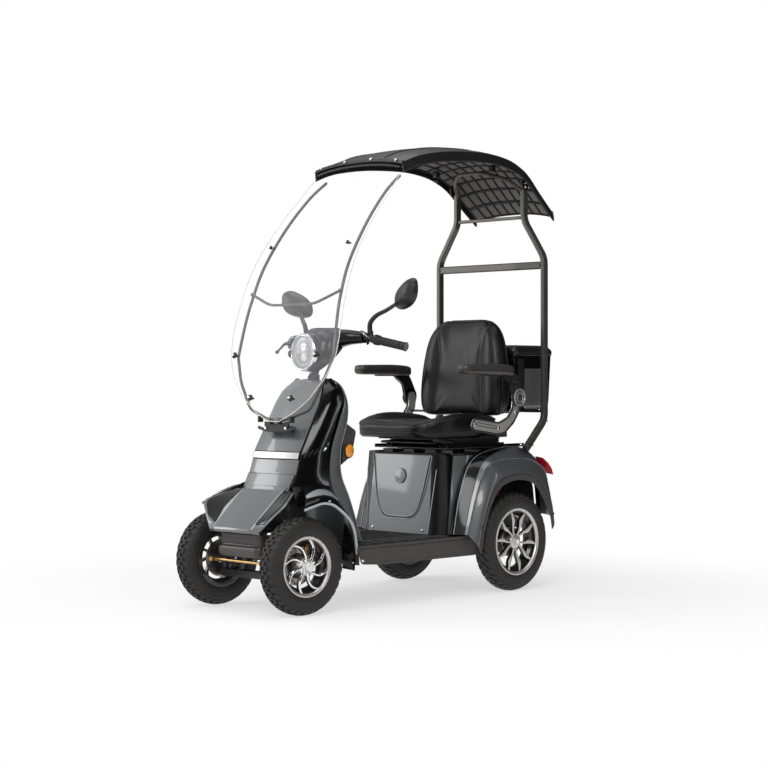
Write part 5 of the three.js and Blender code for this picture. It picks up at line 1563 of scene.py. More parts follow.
def battery_panel():
    """The U-shaped service panel on the front, with its seam and a painted highlight line either
    side of it.
    """
    panel = Piece("battery_service_panel", "chassis", "grey_paint")
    half = spline(table(PANEL_U), 30)
    ring = [(-p.x, p.y) for p in half] + [(p.x, p.y) for p in reversed(half)]
    face = [[housing_front(x, z, out) for x, z in ring] for out in (0.5, 3.0)]
    panel.add(loft(face), GREY)
    seam = [housing_front(x, z, 3.2) for x, z in ring]
    panel.add(tube(seam, 2.2, 8), DARK)
    # painted highlight lines outside and inside the seam
    rim = [housing_front(x * 1.045, z if z > 330 else z - 5, 2.6) for x, z in ring]
    panel.add(tube(rim, 1.5, 8), PAINTED_HIGHLIGHT_GREY)
    panel.add(tube([housing_front(x * 0.966, z + (0 if z > 330 else 5), 3.2) for x, z in ring],
                   0.9, 8), PAINTED_HIGHLIGHT_GREY)
    well = lathe([(0, 0), (31.5, 0), (31.5, 3.2), (0, 3.2)], 40)
    panel.add(moved(well, facing(housing_front(0, CHARGE_PORT_Z, 0.8), HOUSING_FRONT_NORMAL)),
              DARK)
    for x in (-9, 9):
        pin = lathe([(0, 0), (5, 0), (5, 4.6), (3, 5), (0, 5)], 16)
        spot = housing_front(x, CHARGE_PORT_Z - 3, 0.8)
        panel.add(moved(pin, facing(spot, HOUSING_FRONT_NORMAL)), CHROME)
    panel.make(["battery_panel"], bevel=0.3)
    charge_flap()
    battery_pack()


def charge_flap():
    """The round flap over the charging socket."""
    flap = Piece("charge_port_flap", "charge_flap", "grey_paint")
    disc = lathe([(0, 0), (29.6, 0), (30.4, 1), (29.6, 2.2), (24, 3), (0, 3.2)], 48)
    flap.add(moved(disc, facing(housing_front(0, CHARGE_PORT_Z, 5.2), HOUSING_FRONT_NORMAL)),
             GREY)
    rim = [housing_front(p.x, CHARGE_PORT_Z + p.y, 5.6)
           for p in ring_outline(30.6, 30.6, count=40)]
    flap.add(tube(rim, 0.8, 6, closed=True), DARK)
    # painted highlight ring where the finger pull is
    pull = [housing_front(p.x, CHARGE_PORT_Z - 25 + p.y, 8) for p in ring_outline(10, 4)]
    flap.add(tube(pull, 0.9, 6, closed=True), PAINTED_HIGHLIGHT_GREY)
    flap.make(["charge_flap"], bevel=0.2)


def battery_pack():
    pack = Piece("battery_pack_case", "chassis", "satin_black")
    pack.add(block(-165, 165, -325, -200, 250, 430, 10), SATIN)
    pack.add(block(-167, 167, -327, -198, 396, 402, 10), GRIP)
    pack.add(tube(rounded([V(x, -262, z) for x, z in
                           ((-60, 428), (-60, 462), (60, 462), (60, 428))], 16), 6), GRIP)
    pack.make(["battery_pack"], bevel=2)


# ---- rear fenders: inner edge, ridge and lip, each as y and z ----
REAR_FENDER = [
    (-318, 250, -292, 250, -244, 172), (-282, 400, -252, 372, -222, 262),
    (-236, 505, -206, 474, -176, 372), (-182, 556, -155, 530, -122, 434),
    (-96, 578, -85, 545, -62, 458), (10, 590, 0, 548, 5, 465), (90, 594, 84, 545, 80, 453),
    (170, 572, 150, 526, 130, 420), (235, 515, 208, 486, 178, 358),
    (270, 420, 246, 385, 214, 300), (286, 300, 262, 296, 226, 246),
]


SWEEP_EDGE = table([(0, 0.3), (0.15, 0.295), (0.3, 0.27), (0.4, 0.22), (0.5, 0.17), (0.62, 0.1),
                    (1, 0.08)])
LIP = 0.9


def rear_fender_grid():
    """The left fender from its inner edge over the ridge and down to the lip."""
    rows = []
    for i, (y0, z0, y1, z1, y2, z2) in enumerate(REAR_FENDER):
        top, ridge = V(262, y0, z0), V(318, y1, z1)
        side = V(345, y1 * 0.4 + y2 * 0.6, z1 * 0.45 + z2 * 0.55)
        rows.append([V(243 if i < 4 else 212, y0, z0 + 4), top, top.lerp(ridge, 0.9), ridge,
                     ridge.lerp(side, 0.12), side, V(346, y2, z2)])
    return fine(rows, 33, 61)


def sweep_edge(v):
    """How far the gloss-black sweep reaches across the fender, at a place along it."""
    return row_at(SWEEP_EDGE, v)[1]


def rear_fenders():
    """Grey fenders with a gloss-black inner sweep and a brown lip round each wheel arch."""
    grid = rear_fender_grid()
    steps = [i / 60 for i in range(61)]

    def band(low, high, across):
        return [[surface(grid, low(v) + (high(v) - low(v)) * j / (across - 1), v)
                 for j in range(across)] for v in steps]

    sweep_part = band(lambda v: 0, sweep_edge, 10)
    paint_part = band(sweep_edge, lambda v: LIP, 22)
    lip_part = band(lambda v: LIP, lambda v: 1.0, 4)
    seam = [surface(grid, sweep_edge(v), v) for v in steps]
    crease = [surface(grid, 0.5 * sweep_edge(v) + 0.02, v) for v in steps[:34]]
    lip_edge = [surface(grid, 1, v) + V(-1, 0, 0) for v in steps]
    lip_line = [surface(grid, LIP, v) + V(0.6, 0, 0) for v in steps]
    for side in (1, -1):
        fender = Piece(f"rear_fender_{SIDE_NAME[side]}_body", "chassis", "grey_paint")
        place = SIDE_PLACE[side]
        fender.add(sheet(sweep_part, 3, -0.6), BLACK, place)
        fender.add(sheet(paint_part, 3), GREY, place)
        fender.add(sheet(lip_part, 5, -1.6), BROWN, place)
        fender.add(tube(seam, 1.5, 8), DARK, place)
        # painted highlight line along the crease in the black sweep
        fender.add(tube(crease, 1.6, 8), PAINTED_HIGHLIGHT_GREY, place)
        fender.add(tube(lip_edge, 3.2, 8), BROWN, place)
        fender.add(tube(lip_line, 1.8, 8), DARK, place)
        well = table([(60, 586), (90, 586), (170, 564), (235, 507), (268, 412), (282, 310),
                      (215, 300), (150, 420), (60, 470)])
        fender.add(side_plate(well, 203, 206), SATIN, place)
        inner = [[surface(grid, 0.96 - 0.9 * j / 8, v) + V(-3 - j, 0, -9 - 0.6 * j)
                  for j in range(7)] for v in steps[6:56]]
        fender.add(sheet(inner, 2), SATIN, place)
        fender.add(tube([surface(grid, 0.5, v) + V(0.2, 0, 0.4) for v in steps], 0.9, 6), GREY,
                   place)
        for v in (0.08, 0.93):
            fender.add(bolt(surface(grid, 0.86, v) + V(0.5, 0, 0), (1, 0, 0), 5, 3), STEEL, place)
        fender.make([f"rear_fender_{SIDE_NAME[side]}"], sharp=50)
        tail_lamp(side, place)


def tail_lamp(side, place):
    """A wedge of red lens in a dark seat on the fender's rear shoulder."""
    lamp = Piece(f"tail_lamp_{SIDE_NAME[side]}_lens", "chassis", "red_lens")

    def wedge(x, grow, drop):
        outline = table([(206, 562), (240, 540), (268, 512), (286, 474), (272, 478)])
        middle = Vector((255, 512))
        return [V(x, *(middle + (p - middle) * grow)) + V(0, 0, drop) for p in outline]

    lamp.add(loft([wedge(262, 0.8, -4), wedge(268, 0.86, -4), wedge(302, 0.86, -9),
                   wedge(310, 0.74, -11)]), RED_LENS, place)
    lamp.add(loft([wedge(260, 0.9, -6), wedge(263, 0.9, -6)]), SATIN, place)
    for k in range(3):
        lamp.add(tube(wedge(274 + 12 * k, 0.87, -5 - 1.6 * k)[:4], 1.1, 6), RED_LENS, place)
    lamp.make([f"tail_lamp_{SIDE_NAME[side]}"], bevel=2.0, sharp=25)


# ---- footboard ----
def footboard():
    """The deck pan with its side skirts, and the ribbed rubber mat on it."""
    pan = Piece("footboard_pan", "chassis", "brown_plastic")
    pan.add(block(-298, 298, -903, -227, 233, 240, 24), BROWN)
    skirt = rounded(table([(-905, 244), (-890, 174), (-780, 166), (-225, 163), (-196, 178),
                           (-190, 244)]), 16, 5, True)
    crease = [V(300.4, y, z) for y, z in ((-902, 233), (-560, 231), (-196, 232))]
    foot = [V(300.2, y, z) for y, z in ((-884, 178), (-560, 175), (-206, 174))]
    pan.add(both(side_plate(skirt, 295, 300)), BROWN)
    pan.add(both(tube(crease, 1.3, 8)), DARK)
    pan.add(both(tube(foot, 1.1, 8)), BROWN)
    pan.add(block(-298, 298, -905, -899, 172, 240, 2), BROWN)
    pan.add(both(bolt(V(300, -884, 188), (1, 0, 0), 6, 3.5)), CHROME)
    pan.add(both(bolt(V(300, -214, 190), (1, 0, 0), 6, 3.5)), STEEL)
    for y in (-820, -640, -460):
        pan.add(both(block(120, 294, y - 4, y + 4, 206, 234)), SATIN)
    pan.make(["floor_pan"], bevel=1.6, sharp=35)
    mat = Piece("ribbed_floor_mat", "chassis", "mat_rubber")
    mat.add(block(-284, 284, -888, -352, 240.4, 245.4, 20), MAT)
    edge = [V(p.x, p.y, 246) for p in rectangle(-281, 281, -885, -355, 18)]
    mat.add(tube(edge, 1.8, 8, closed=True), MAT)
    for i in range(6):
        y = -860 + 78 * i
        for k in range(3):
            start = y + 12 * k
            mat.add(both(block(170, 262, start, start + 9, 245, 249, 3)), MAT)
    for i in range(21):
        x = -150 + 15 * i
        mat.add(block(x - 2.4, x + 2.4, -866, -374, 245, 247.2, 2), MAT)
    mat.make(["floor_mat"], bevel=1.0, sharp=35)


# ---- chassis, axles and suspension ----
REAR_AXLE_Z = REAR_WHEEL["radius"]
TIE_ROD_EYE = V(174, -1228, 190)
COIL_TURNS = 8


def chassis_frame():
    """Welded tubes: two rails, cross tubes, the steering head and the shock towers."""
    frame_piece = Piece("welded_chassis", "chassis", "steel")
    parts = []
    rail = [V(100, -1095, 190), V(100, -185, 190), V(100, -80, 330), V(100, 200, 330)]
    parts.append(tube(rounded(rail, 40), 15))
    for start, end, radius in (
            (V(100, -1080, 190), V(12, -1014, 445), 12),
            (V(150, FRONT_WHEEL_Y, 396), V(10, -1016, 440), 9),
            (V(100, -120, 283), V(100, -120, 588), 12), (V(100, 150, 330), V(100, 150, 588), 12),
            (V(270, 102, 545), V(100, 150, 500), 11)):
        parts.append(rod(start, end, radius, 12))
    parts.append(block(252, 288, 82, 122, 540, 546, 4))
    parts.append(block(88, 112, -4, 4, 330, 512))
    for place in ((150, FRONT_WHEEL_Y, 396), (224, 0, 512)):
        parts.append(rod(V(*place) - V(10, 0, 0), V(*place) + V(14, 0, 0), 13, 16))
    frame_piece.add(both(merged(*parts)), STEEL)
    for y, z, half, radius in ((-1080, 190, 110, 11), (-925, 190, 110, 11), (-640, 190, 110, 11),
                               (-380, 190, 110, 11), (190, 330, 110, 11),
                               (FRONT_WHEEL_Y, 396, 168, 10), (0, 512, 238, 10)):
        frame_piece.add(rod(V(-half, y, z), V(half, y, z), radius, 12), STEEL)
    for y in (-132, 138):
        frame_piece.add(block(-112, 112, y, y + 24, 580, 592, 3), STEEL)
    frame_piece.add(rod(V(0, -925, 190), column_point(640) + V(0, 10, 0), 12, 12), STEEL)
    for low, high, radius in ((420, 800, 21), (420, 452, 25), (768, 800, 25)):
        span = (column_point(high) - column_point(low)).length
        frame_piece.add(lathe([(16, 0), (radius, 0), (radius, span), (16, span)], 28), STEEL,
                        facing(column_point(low), COLUMN_AXIS))
    frame_piece.make(["chassis_frame"], sharp=40)


def rear_axle():
    """The axle tube with its motor, ribbed gearbox housing and shock pads."""
    axle = Piece("rear_axle_and_motor", "rear_axle", "steel")
    for x0, x1, y, radius in ((-250, 250, 0, 22), (-46, 46, 0, 56), (-50, -40, 0, 60),
                              (40, 50, 0, 60), (-86, 46, -30, 48), (-322, 322, 0, 9.5),
                              (-262, -250, 0, 34), (250, 262, 0, 34)):
        axle.add(rod(V(x0, y, REAR_AXLE_Z), V(x1, y, REAR_AXLE_Z), radius, 32), STEEL)
    for k in range(7):
        x = -82 + 5 * k
        axle.add(rod(V(x, -30, REAR_AXLE_Z), V(x + 2, -30, REAR_AXLE_Z), 51, 28), STEEL)
    for k in range(6):
        angle = math.tau * k / 6
        centre = V(50, 50 * math.cos(angle), REAR_AXLE_Z + 50 * math.sin(angle))
        axle.add(bolt(centre, (1, 0, 0), 5, 4), CHROME)
    for x in (-223, 223):
        axle.add(block(x - 27, x + 27, -20, 20, REAR_AXLE_Z, 236, 5), STEEL)
    axle.make(["rear_axle"], bevel=1.0)


def front_axle():
    """The axle beam with its kingpins, the two knuckles and the tie rod between them."""
    axle = Piece("front_axle_beam", "front_axle", "steel")
    axle.add(block(-202, 202, -1168, -1128, 119, 146, 5), STEEL)
    axle.add(block(-120, 120, -1169, -1127, 126, 139, 3), SATIN)
    parts = [rod(V(KINGPIN_X, FRONT_WHEEL_Y, 130), V(KINGPIN_X, FRONT_WHEEL_Y, 224), 9, 20),
             rod(V(KINGPIN_X, FRONT_WHEEL_Y, 219), V(KINGPIN_X, FRONT_WHEEL_Y, 228), 15, 6),
             rod(V(KINGPIN_X, FRONT_WHEEL_Y, 116), V(KINGPIN_X, FRONT_WHEEL_Y, 122), 15, 6),
             rod(V(KINGPIN_X, FRONT_WHEEL_Y, 142), V(KINGPIN_X, FRONT_WHEEL_Y, 148), 17, 20),
             block(66, 94, -1136, -1106, 122, 142, 4),
             rod(V(148, -1162, 146), V(148, -1134, 146), 9, 16),
             bolt(V(80, -1168, 132), (0, -1, 0), 7, 5)]
    axle.add(both(merged(*parts)), STEEL)
    axle.make(["front_axle"], bevel=1.4)
    for side in (1, -1):
        name = f"knuckle_{SIDE_NAME[side]}"
        knuckle = Piece(f"steering_{name}", name, "steel")
        shape = merged(
            moved(lathe([(9.6, 0), (16, 0), (16, 70), (9.6, 70)], 24),
                  facing(V(KINGPIN_X, FRONT_WHEEL_Y, 148), (0, 0, 1))),
            rod(V(200, FRONT_WHEEL_Y, 184), V(276, FRONT_WHEEL_Y, 184), 8, 20),
            rod(V(196, FRONT_WHEEL_Y, 184), V(214, FRONT_WHEEL_Y, 184), 15, 24),
            bar([V(TIE_ROD_EYE.x, y, 202) for y in (FRONT_WHEEL_Y, -1180, -1238)], 16, 8,
                V(0, 0, 1), 2),
            rod(TIE_ROD_EYE + V(0, 0, 7.4), TIE_ROD_EYE + V(0, 0, 18), 9, 6))
        knuckle.add(shape, STEEL, KINGPINS[side] @ SIDE_PLACE[side])
        knuckle.make([name], bevel=1.0)
    link = Piece("gold_tie_rod", "tie_rod", "gold_zinc")
    shift = Matrix.Translation(V(80 * math.sin(STEER_ANGLE), 0, 0))
    link.add(rod(flip(TIE_ROD_EYE), TIE_ROD_EYE, 5.8, 16), GOLD, shift)
    eye = merged(rod(TIE_ROD_EYE - V(0, 0, 8), TIE_ROD_EYE + V(0, 0, 7), 11, 20),
                 rod(TIE_ROD_EYE - V(34, 0, 0), TIE_ROD_EYE - V(14, 0, 0), 8.6, 6))
    link.add(both(eye), GOLD, shift)
    link.make(["tie_rod"], bevel=0.7)


def coil_shock(side, end, x, y, low, high, radius, wire, slot, finish):
    """A damper inside a coil spring."""
    name = f"{end}_shock_{SIDE_NAME[side]}"
    shock = Piece(f"{name}_coil", "chassis", slot)
    foot, head = V(side * x, y, low), V(side * x, y, high)
    count = COIL_TURNS * 18
    path = []
    for k in range(count + 1):
        angle = math.tau * COIL_TURNS * k / count
        z = low + 26 + (high - low - 52) * k / count
        path.append(V(side * x + radius * math.cos(angle), y + radius * math.sin(angle), z))
    shock.add(tube(path, wire, 8), finish)
    up = V(0, 0, 1)
    for z0, z1, r in ((0, 18, 9), (16, 24, radius + wire)):
        shock.add(rod(foot + up * z0, foot + up * z1, r, 20), STEEL)
        shock.add(rod(head - up * z1, head - up * z0, r, 20), STEEL)
    shock.add(rod(foot + up * 20, foot + up * (high - low) * 0.58, radius * 0.62, 16), STEEL)
    shock.add(rod(foot + up * (high - low) * 0.5, head - up * 20, radius * 0.3, 12), CHROME)
    obj = shock.mesh_object()
    finish_mesh(obj, 0, 32)
    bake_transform(obj)
    shock.declare(obj, [name])


def seat_post():
    """The plate on top of the housing, with the two fixed rails that the seat slides on."""
    post = Piece("seat_post_plate", "chassis", "steel")
    post.add(block(-208, 208, -290, 205, 592.4, 598, 10), STEEL)
    for x in (-150, 150):
        for edge in (-14, 14):
            post.add(block(x + edge - 2, x + edge + 2, -260, 120, 598, 612), STEEL)
        post.add(block(x - 16, x + 16, -260, 120, 598, 600.5), STEEL)
        for y in (-240, 100):
            post.add(bolt(V(x, y, 600), (0, 0, 1), 6, 4), CHROME)
    post.add(both(bar([V(204, -290, 600), V(204, 205, 600)], 6, 14, V(0, 0, 1), 1.5)), BLACK)
    post.make(["seat_post"], bevel=0.8)


battery_housing()
battery_panel()
rear_fenders()
footboard()
chassis_frame()
rear_axle()
front_axle()
for shock_side in (1, -1):
    coil_shock(shock_side, "rear", 224, 0, 236.4, 501.6, 17, 4.6, "spring_red", SPRING_RED)
    coil_shock(shock_side, "front", 148, FRONT_WHEEL_Y, 146.4, 385.6, 13, 3.4, "satin_black",
               SATIN)
seat_post()


# ---- seat: cushion and backrest blown up by cloth simulation between pinned seams ----
VOXEL = 0.006
PIN_REACH = 0.011
CUSHION_PRESSURE = 4
LAST_FRAME = 20
SECTION_POINTS = 56


def closed_spline(points, count):
    """count points along a smooth closed curve."""
    around = [points[-1]] + points + points[:2]
    fine_line = spline(around, count * 4)
    first = len(fine_line) // (len(around) - 1)
    loop = fine_line[first:len(fine_line) - first]
    return [loop[round(k * (len(loop) - 1) / count)] for k in range(count)]


def applied(obj):
    """Bakes the modifiers of an object into its mesh."""
    graph = bpy.context.evaluated_depsgraph_get()
    mesh = bpy.data.meshes.new_from_object(obj.evaluated_get(graph))
    obj.modifiers.clear()
    obj.data = mesh


def puff(obj, seams, limit, flat):
    """Blows a cushion up by cloth simulation. Points near a seam and points under flat() stay."""
    applied(obj)
    even = obj.modifiers.new("even_mesh", "REMESH")
    even.mode = "VOXEL"
    even.voxel_size = VOXEL
    even.use_smooth_shade = True
    applied(obj)
    points = [v.co.copy() for v in obj.data.vertices]
    tree = KDTree(len(seams))
    for i, p in enumerate(seams):
        tree.insert(to_row(p), i)
    tree.balance()
    held = obj.vertex_groups.new(name="held")
    for i, p in enumerate(points):
        near = tree.find(p)[2]
        weight = 1.0 if flat(p) else max(0.0, 1 - near / PIN_REACH)
        if weight:
            held.add([i], weight, "REPLACE")
    cloth = obj.modifiers.new("filling", "CLOTH")
    cloth.settings.quality = 4
    cloth.settings.mass = 0.4
    cloth.settings.use_pressure = True
    cloth.settings.uniform_pressure_force = CUSHION_PRESSURE
    cloth.settings.effector_weights.gravity = 0
    cloth.settings.vertex_group_mass = "held"
    cloth.settings.tension_stiffness = 20
    cloth.settings.bending_stiffness = 2
    cloth.point_cache.frame_start = 1
    cloth.point_cache.frame_end = LAST_FRAME
    scene = bpy.context.scene
    for frame_number in range(1, LAST_FRAME + 1):
        scene.frame_set(frame_number)
    applied(obj)
    scene.frame_set(1)
    for v, start in zip(obj.data.vertices, points):
        move = v.co - start
        if move.length > limit * MM:
            v.co = start + move.normalized() * limit * MM
    obj.vertex_groups.clear()


def on_surface(obj, line, lift):
    """A line laid on the surface of a finished object."""
    tree = BVHTree.FromPolygons([v.co for v in obj.data.vertices],
                                [p.vertices for p in obj.data.polygons])
    out = []
    for p in line:
        place, normal, _, _ = tree.find_nearest(to_row(p))
        place = place + normal * lift * MM
        out.append(V(place.x / MM, (place.y - REAR_AXLE_Y) / MM, place.z / MM))
    return out


def cushion_object(name, body, rings, seams, limit, flat):
    """A padded piece; limit is how far in mm the filling may push its skin."""
    shape = Piece(name, body, "vinyl")
    shape.add(loft(rings), VINYL)
    obj = shape.mesh_object()
    puff(obj, [p for line in seams for p in line], limit, flat)
    obj.data.materials.clear()
    obj.data.materials.append(VINYL)
    obj.data.polygons.foreach_set("use_smooth", [True] * len(obj.data.polygons))
    smoother = obj.modifiers.new("smoother", "SUBSURF")
    smoother.levels = smoother.render_levels = 1
    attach(obj, body)
    return shape, obj


def dense(points, gap=4.0):
    """More points along a polyline, about gap mm apart."""
    out = []
    for a, b in zip(points, points[1:]):
        steps = max(1, int((b - a).length / gap))
        out += [a.lerp(b, k / steps) for k in range(steps)]
    return out + [points[-1]]


# y, bottom, bolster top, middle top, half-width
CUSHION_ROWS = table([
    (-428, 662, 688, 690, 128), (-420, 648, 698, 700, 160), (-398, 640, 708, 708, 192),
    (-350, 638, 720, 712, 219), (-290, 638, 732, 712, 230), (-233, 638, 739, 711, 235),
    (-149, 640, 740, 708, 235), (-70, 656, 734, 706, 234), (-20, 658, 728, 706, 230),
    (2, 662, 722, 706, 218),
])


def cushion_section(row):
    """The cushion's outline across the seat: hollow in the middle, raised at the sides."""
    y, z0, zb, zc, w = row
    half = [(0, zc - 3), (w * 0.4, zc - 1), (w * 0.58, zc), (w * 0.72, (zb + zc) / 2),
            (w * 0.84, zb), (w - 10, zb - 4), (w - 1, zb - 16), (w, (z0 + zb) / 2),
            (w - 3, z0 + 12), (w - 14, z0 + 1), (w - 40, z0), (w * 0.4, z0)]
    left = [V(x, y, z) for x, z in half]
    return closed_spline([flip(p) for p in reversed(left[1:])] + left + [V(0, y, z0)],
                         SECTION_POINTS)


def seat_cushion():
    rings = [cushion_section(row) for row in spline(CUSHION_ROWS, 26)]
    half_edge = [row_at(CUSHION_ROWS, y) for y in range(-424, 2, 12)]
    left = [V(r[4] - 2, r[0], r[2] - 12) for r in half_edge]
    front = [V(x, -430 + (x / 128) ** 2 * 6, 684) for x in range(-120, 121, 12)]
    piping = [flip(p) for p in reversed(left)] + front + left
    panel_rows = [row_at(CUSHION_ROWS, y) for y in range(-372, 0, 8)]
    panel_left = [V(r[4] * 0.6, r[0], r[3] + 2) for r in panel_rows]
    panel_front = [V(x, -384 + (x / 128) ** 2 * 14, 708) for x in range(-126, 127, 9)]
    panel = [flip(p) for p in reversed(panel_left)] + panel_front + panel_left
    low = [V(r[4] - 3, r[0], r[1] + 12) for r in half_edge]
    low_line = [flip(p) for p in reversed(low)] + [V(x, -429, 662) for x in range(-120, 121, 12)]
    low_line += low
    seams = [dense(piping), dense(panel), dense(low_line)]
    shape, obj = cushion_object("seat_cushion_vinyl", "seat", rings, seams, 16,
                                lambda p: p.z < 0.645)
    shape.declare(obj, ["seat_cushion"])
    trim = Piece("seat_cushion_seams", "seat", "vinyl")
    trim.add(tube(on_surface(obj, dense(piping, 8), 1.6), 3.0, 8), PIPING)
    trim.add(tube(on_surface(obj, dense(panel, 8), 0.5), 1.8, 6), PIPING)
    trim.add(tube(on_surface(obj, dense(low_line, 8), 1.0), 2.2, 8), PIPING)
    trim.make()


# z, front, back, half-width
BACKREST_ROWS = table([
    (726, 24, 62, 190), (736, 9, 80, 208), (790, 5, 97, 224), (886, 10, 104, 223),
    (976, 17, 103, 211), (1045, 26, 103, 196), (1090, 37, 104, 173), (1115, 47, 103, 147),
    (1129, 58, 100, 120), (1136, 68, 92, 90),
])


def backrest_section(row):
    """The backrest's outline at one height: hollow in the middle, raised at the sides."""
    z, y0, y1, w = row
    deep = min(14, (y1 - y0) * 0.16)
    half = [(0, y0 + deep), (w * 0.34, y0 + deep - 1), (w * 0.58, y0 + deep * 0.6),
            (w * 0.78, y0), (w * 0.92, y0 + 6), (w, y0 + 26), (w + 1, (y0 + y1) / 2 + 6),
            (w - 4, y1 - 16), (w - 20, y1 - 3), (w * 0.6, y1)]
    left = [V(x, y, z) for x, y in half]
    return closed_spline([flip(p) for p in reversed(left[1:])] + left + [V(0, y1 + 1, z)],
                         SECTION_POINTS)


def side_seam(heights, back):
    """A line up both sides of the backrest and over its top, inside the outline."""
    left = []
    for z in heights:
        row = row_at(BACKREST_ROWS, z)
        left.append(V(row[3] - 4, row[1] + back * (row[2] - row[1]), z))
    top = left[-1]
    arch = [V(top.x * x, top.y, top.z + 5 * (1 - x * x)) for x in (0.75, 0.4, 0, -0.4, -0.75)]
    return left + arch + [flip(p) for p in reversed(left)]


def backrest():
    rings = [backrest_section(row) for row in spline(BACKREST_ROWS, 30)]
    heights = range(734, 1132, 10)
    front_piping = side_seam(heights, 0.18)
    rear_piping = side_seam(heights, 0.84)
    panel = []
    for z in range(732, 1120, 8):
        t = (z - 738) / 240
        width = 139 - 26 * t if t < 1 else 113 + 33 * ((z - 978) / 140) ** 1.2
        row = row_at(BACKREST_ROWS, z)
        panel.append(V(min(width, row[3] - 8), row[1] + 6, z))
    seams = [dense(front_piping), dense(rear_piping), dense(panel),
             [flip(p) for p in dense(panel)]]
    shape, obj = cushion_object("backrest_vinyl", "backrest", rings, seams, 18, lambda p: False)
    shape.declare(obj, ["backrest"])
    trim = Piece("backrest_seams", "backrest", "vinyl")
    for line in (front_piping, rear_piping):
        trim.add(tube(on_surface(obj, dense(line, 8), 1.4), 2.8, 8), PIPING)
    for line in (panel, [flip(p) for p in panel]):
        trim.add(tube(on_surface(obj, line, 0.5), 2.0, 6), PIPING)
    trim.make()


# ---- seat frame: silver side brackets, slide runners, hinge tube and levers ----
BRACKET = table([
    (-240, 702), (-247, 684), (-232, 672), (-85, 652), (-40, 657), (20, 700), (56, 748),
    (64, 800), (54, 824), (30, 824), (18, 804), (16, 762), (-15, 722), (-75, 699), (-228, 720),
])


def seat_frame():
    """The slide runners, the silver brackets with their rivets, and the levers."""
    base = Piece("seat_frame_brackets", "seat", "alloy")
    base.add(block(-180, 180, -300, 80, 630, 636, 12), STEEL)
    one_side = [block(136, 164, -240, 90, 612.4, 632, 2), block(150, 295, -60, -30, 640, 656, 4),
                block(140, 160, -60, -30, 634, 650, 2), block(278, 291, -75, -10, 640, 672, 3)]
    base.add(both(merged(*one_side)), STEEL)
    outline = rounded(BRACKET, 11, 4, True)
    base.add(both(side_plate(outline, 291, 300)), SILVER)
    base.add(both(tube([V(300, p.x, p.y) for p in outline], 4.4, 8, closed=True)), GRIP)
    slot = rounded(table([(-212, 704), (-216, 692), (-94, 674), (-90, 686)]), 5.6, 5, True)
    base.add(both(tube([V(300.4, p.x, p.y) for p in slot], 1.5, 8, closed=True)), STEEL)
    for y, z in ((-228, 697), (-76, 677), (34, 742)):
        rivet = moved(lathe([(0, 0), (7.5, 0), (7.5, 1), (5.5, 2.8), (0, 3.2)], 20),
                      facing(V(300, y, z), (1, 0, 0)))
        base.add(both(rivet), CHROME)
    base.add(rod(V(-291, 34, 742), V(291, 34, 742), 4.8, 16), STEEL)
    lever = rounded([V(172, -210, 622), V(196, -250, 620), V(196, -306, 624),
                     V(196, -340, 630)], 14)
    base.add(tube(lever, 4.5, 10), STEEL)
    base.add(tube([V(196, -322, 628), V(196, -362, 634)], 7.5, 14), GRIP)
    front_bar = rounded([V(-150, -240, 620), V(-150, -318, 618), V(150, -318, 618),
                         V(150, -240, 620)], 24)
    base.add(tube(front_bar, 5, 10), STEEL)
    for x in (-150, 150):
        base.add(bolt(V(x, -210, 636), (0, 0, 1), 7, 3), CHROME)
    base.make(["seat_frame"], bevel=0.8, sharp=38)


# ---- armrests ----
ARM_PIVOT = Vector((40, 804))
ARM_WEB = table([(80, 812), (72, 778), (44, 764), (12, 776), (4, 812), (-10, 862), (-62, 892),
                 (-70, 904), (24, 906), (46, 872)])
# y, bottom, top, half-width
ARM_PAD = table([(-306, 914, 930, 14), (-300, 906, 938, 24), (-284, 901, 942, 30),
                 (-200, 900, 943, 31), (-120, 899, 944, 31), (-50, 896, 942, 31),
                 (-8, 894, 938, 30), (6, 898, 932, 24), (10, 906, 922, 14)])


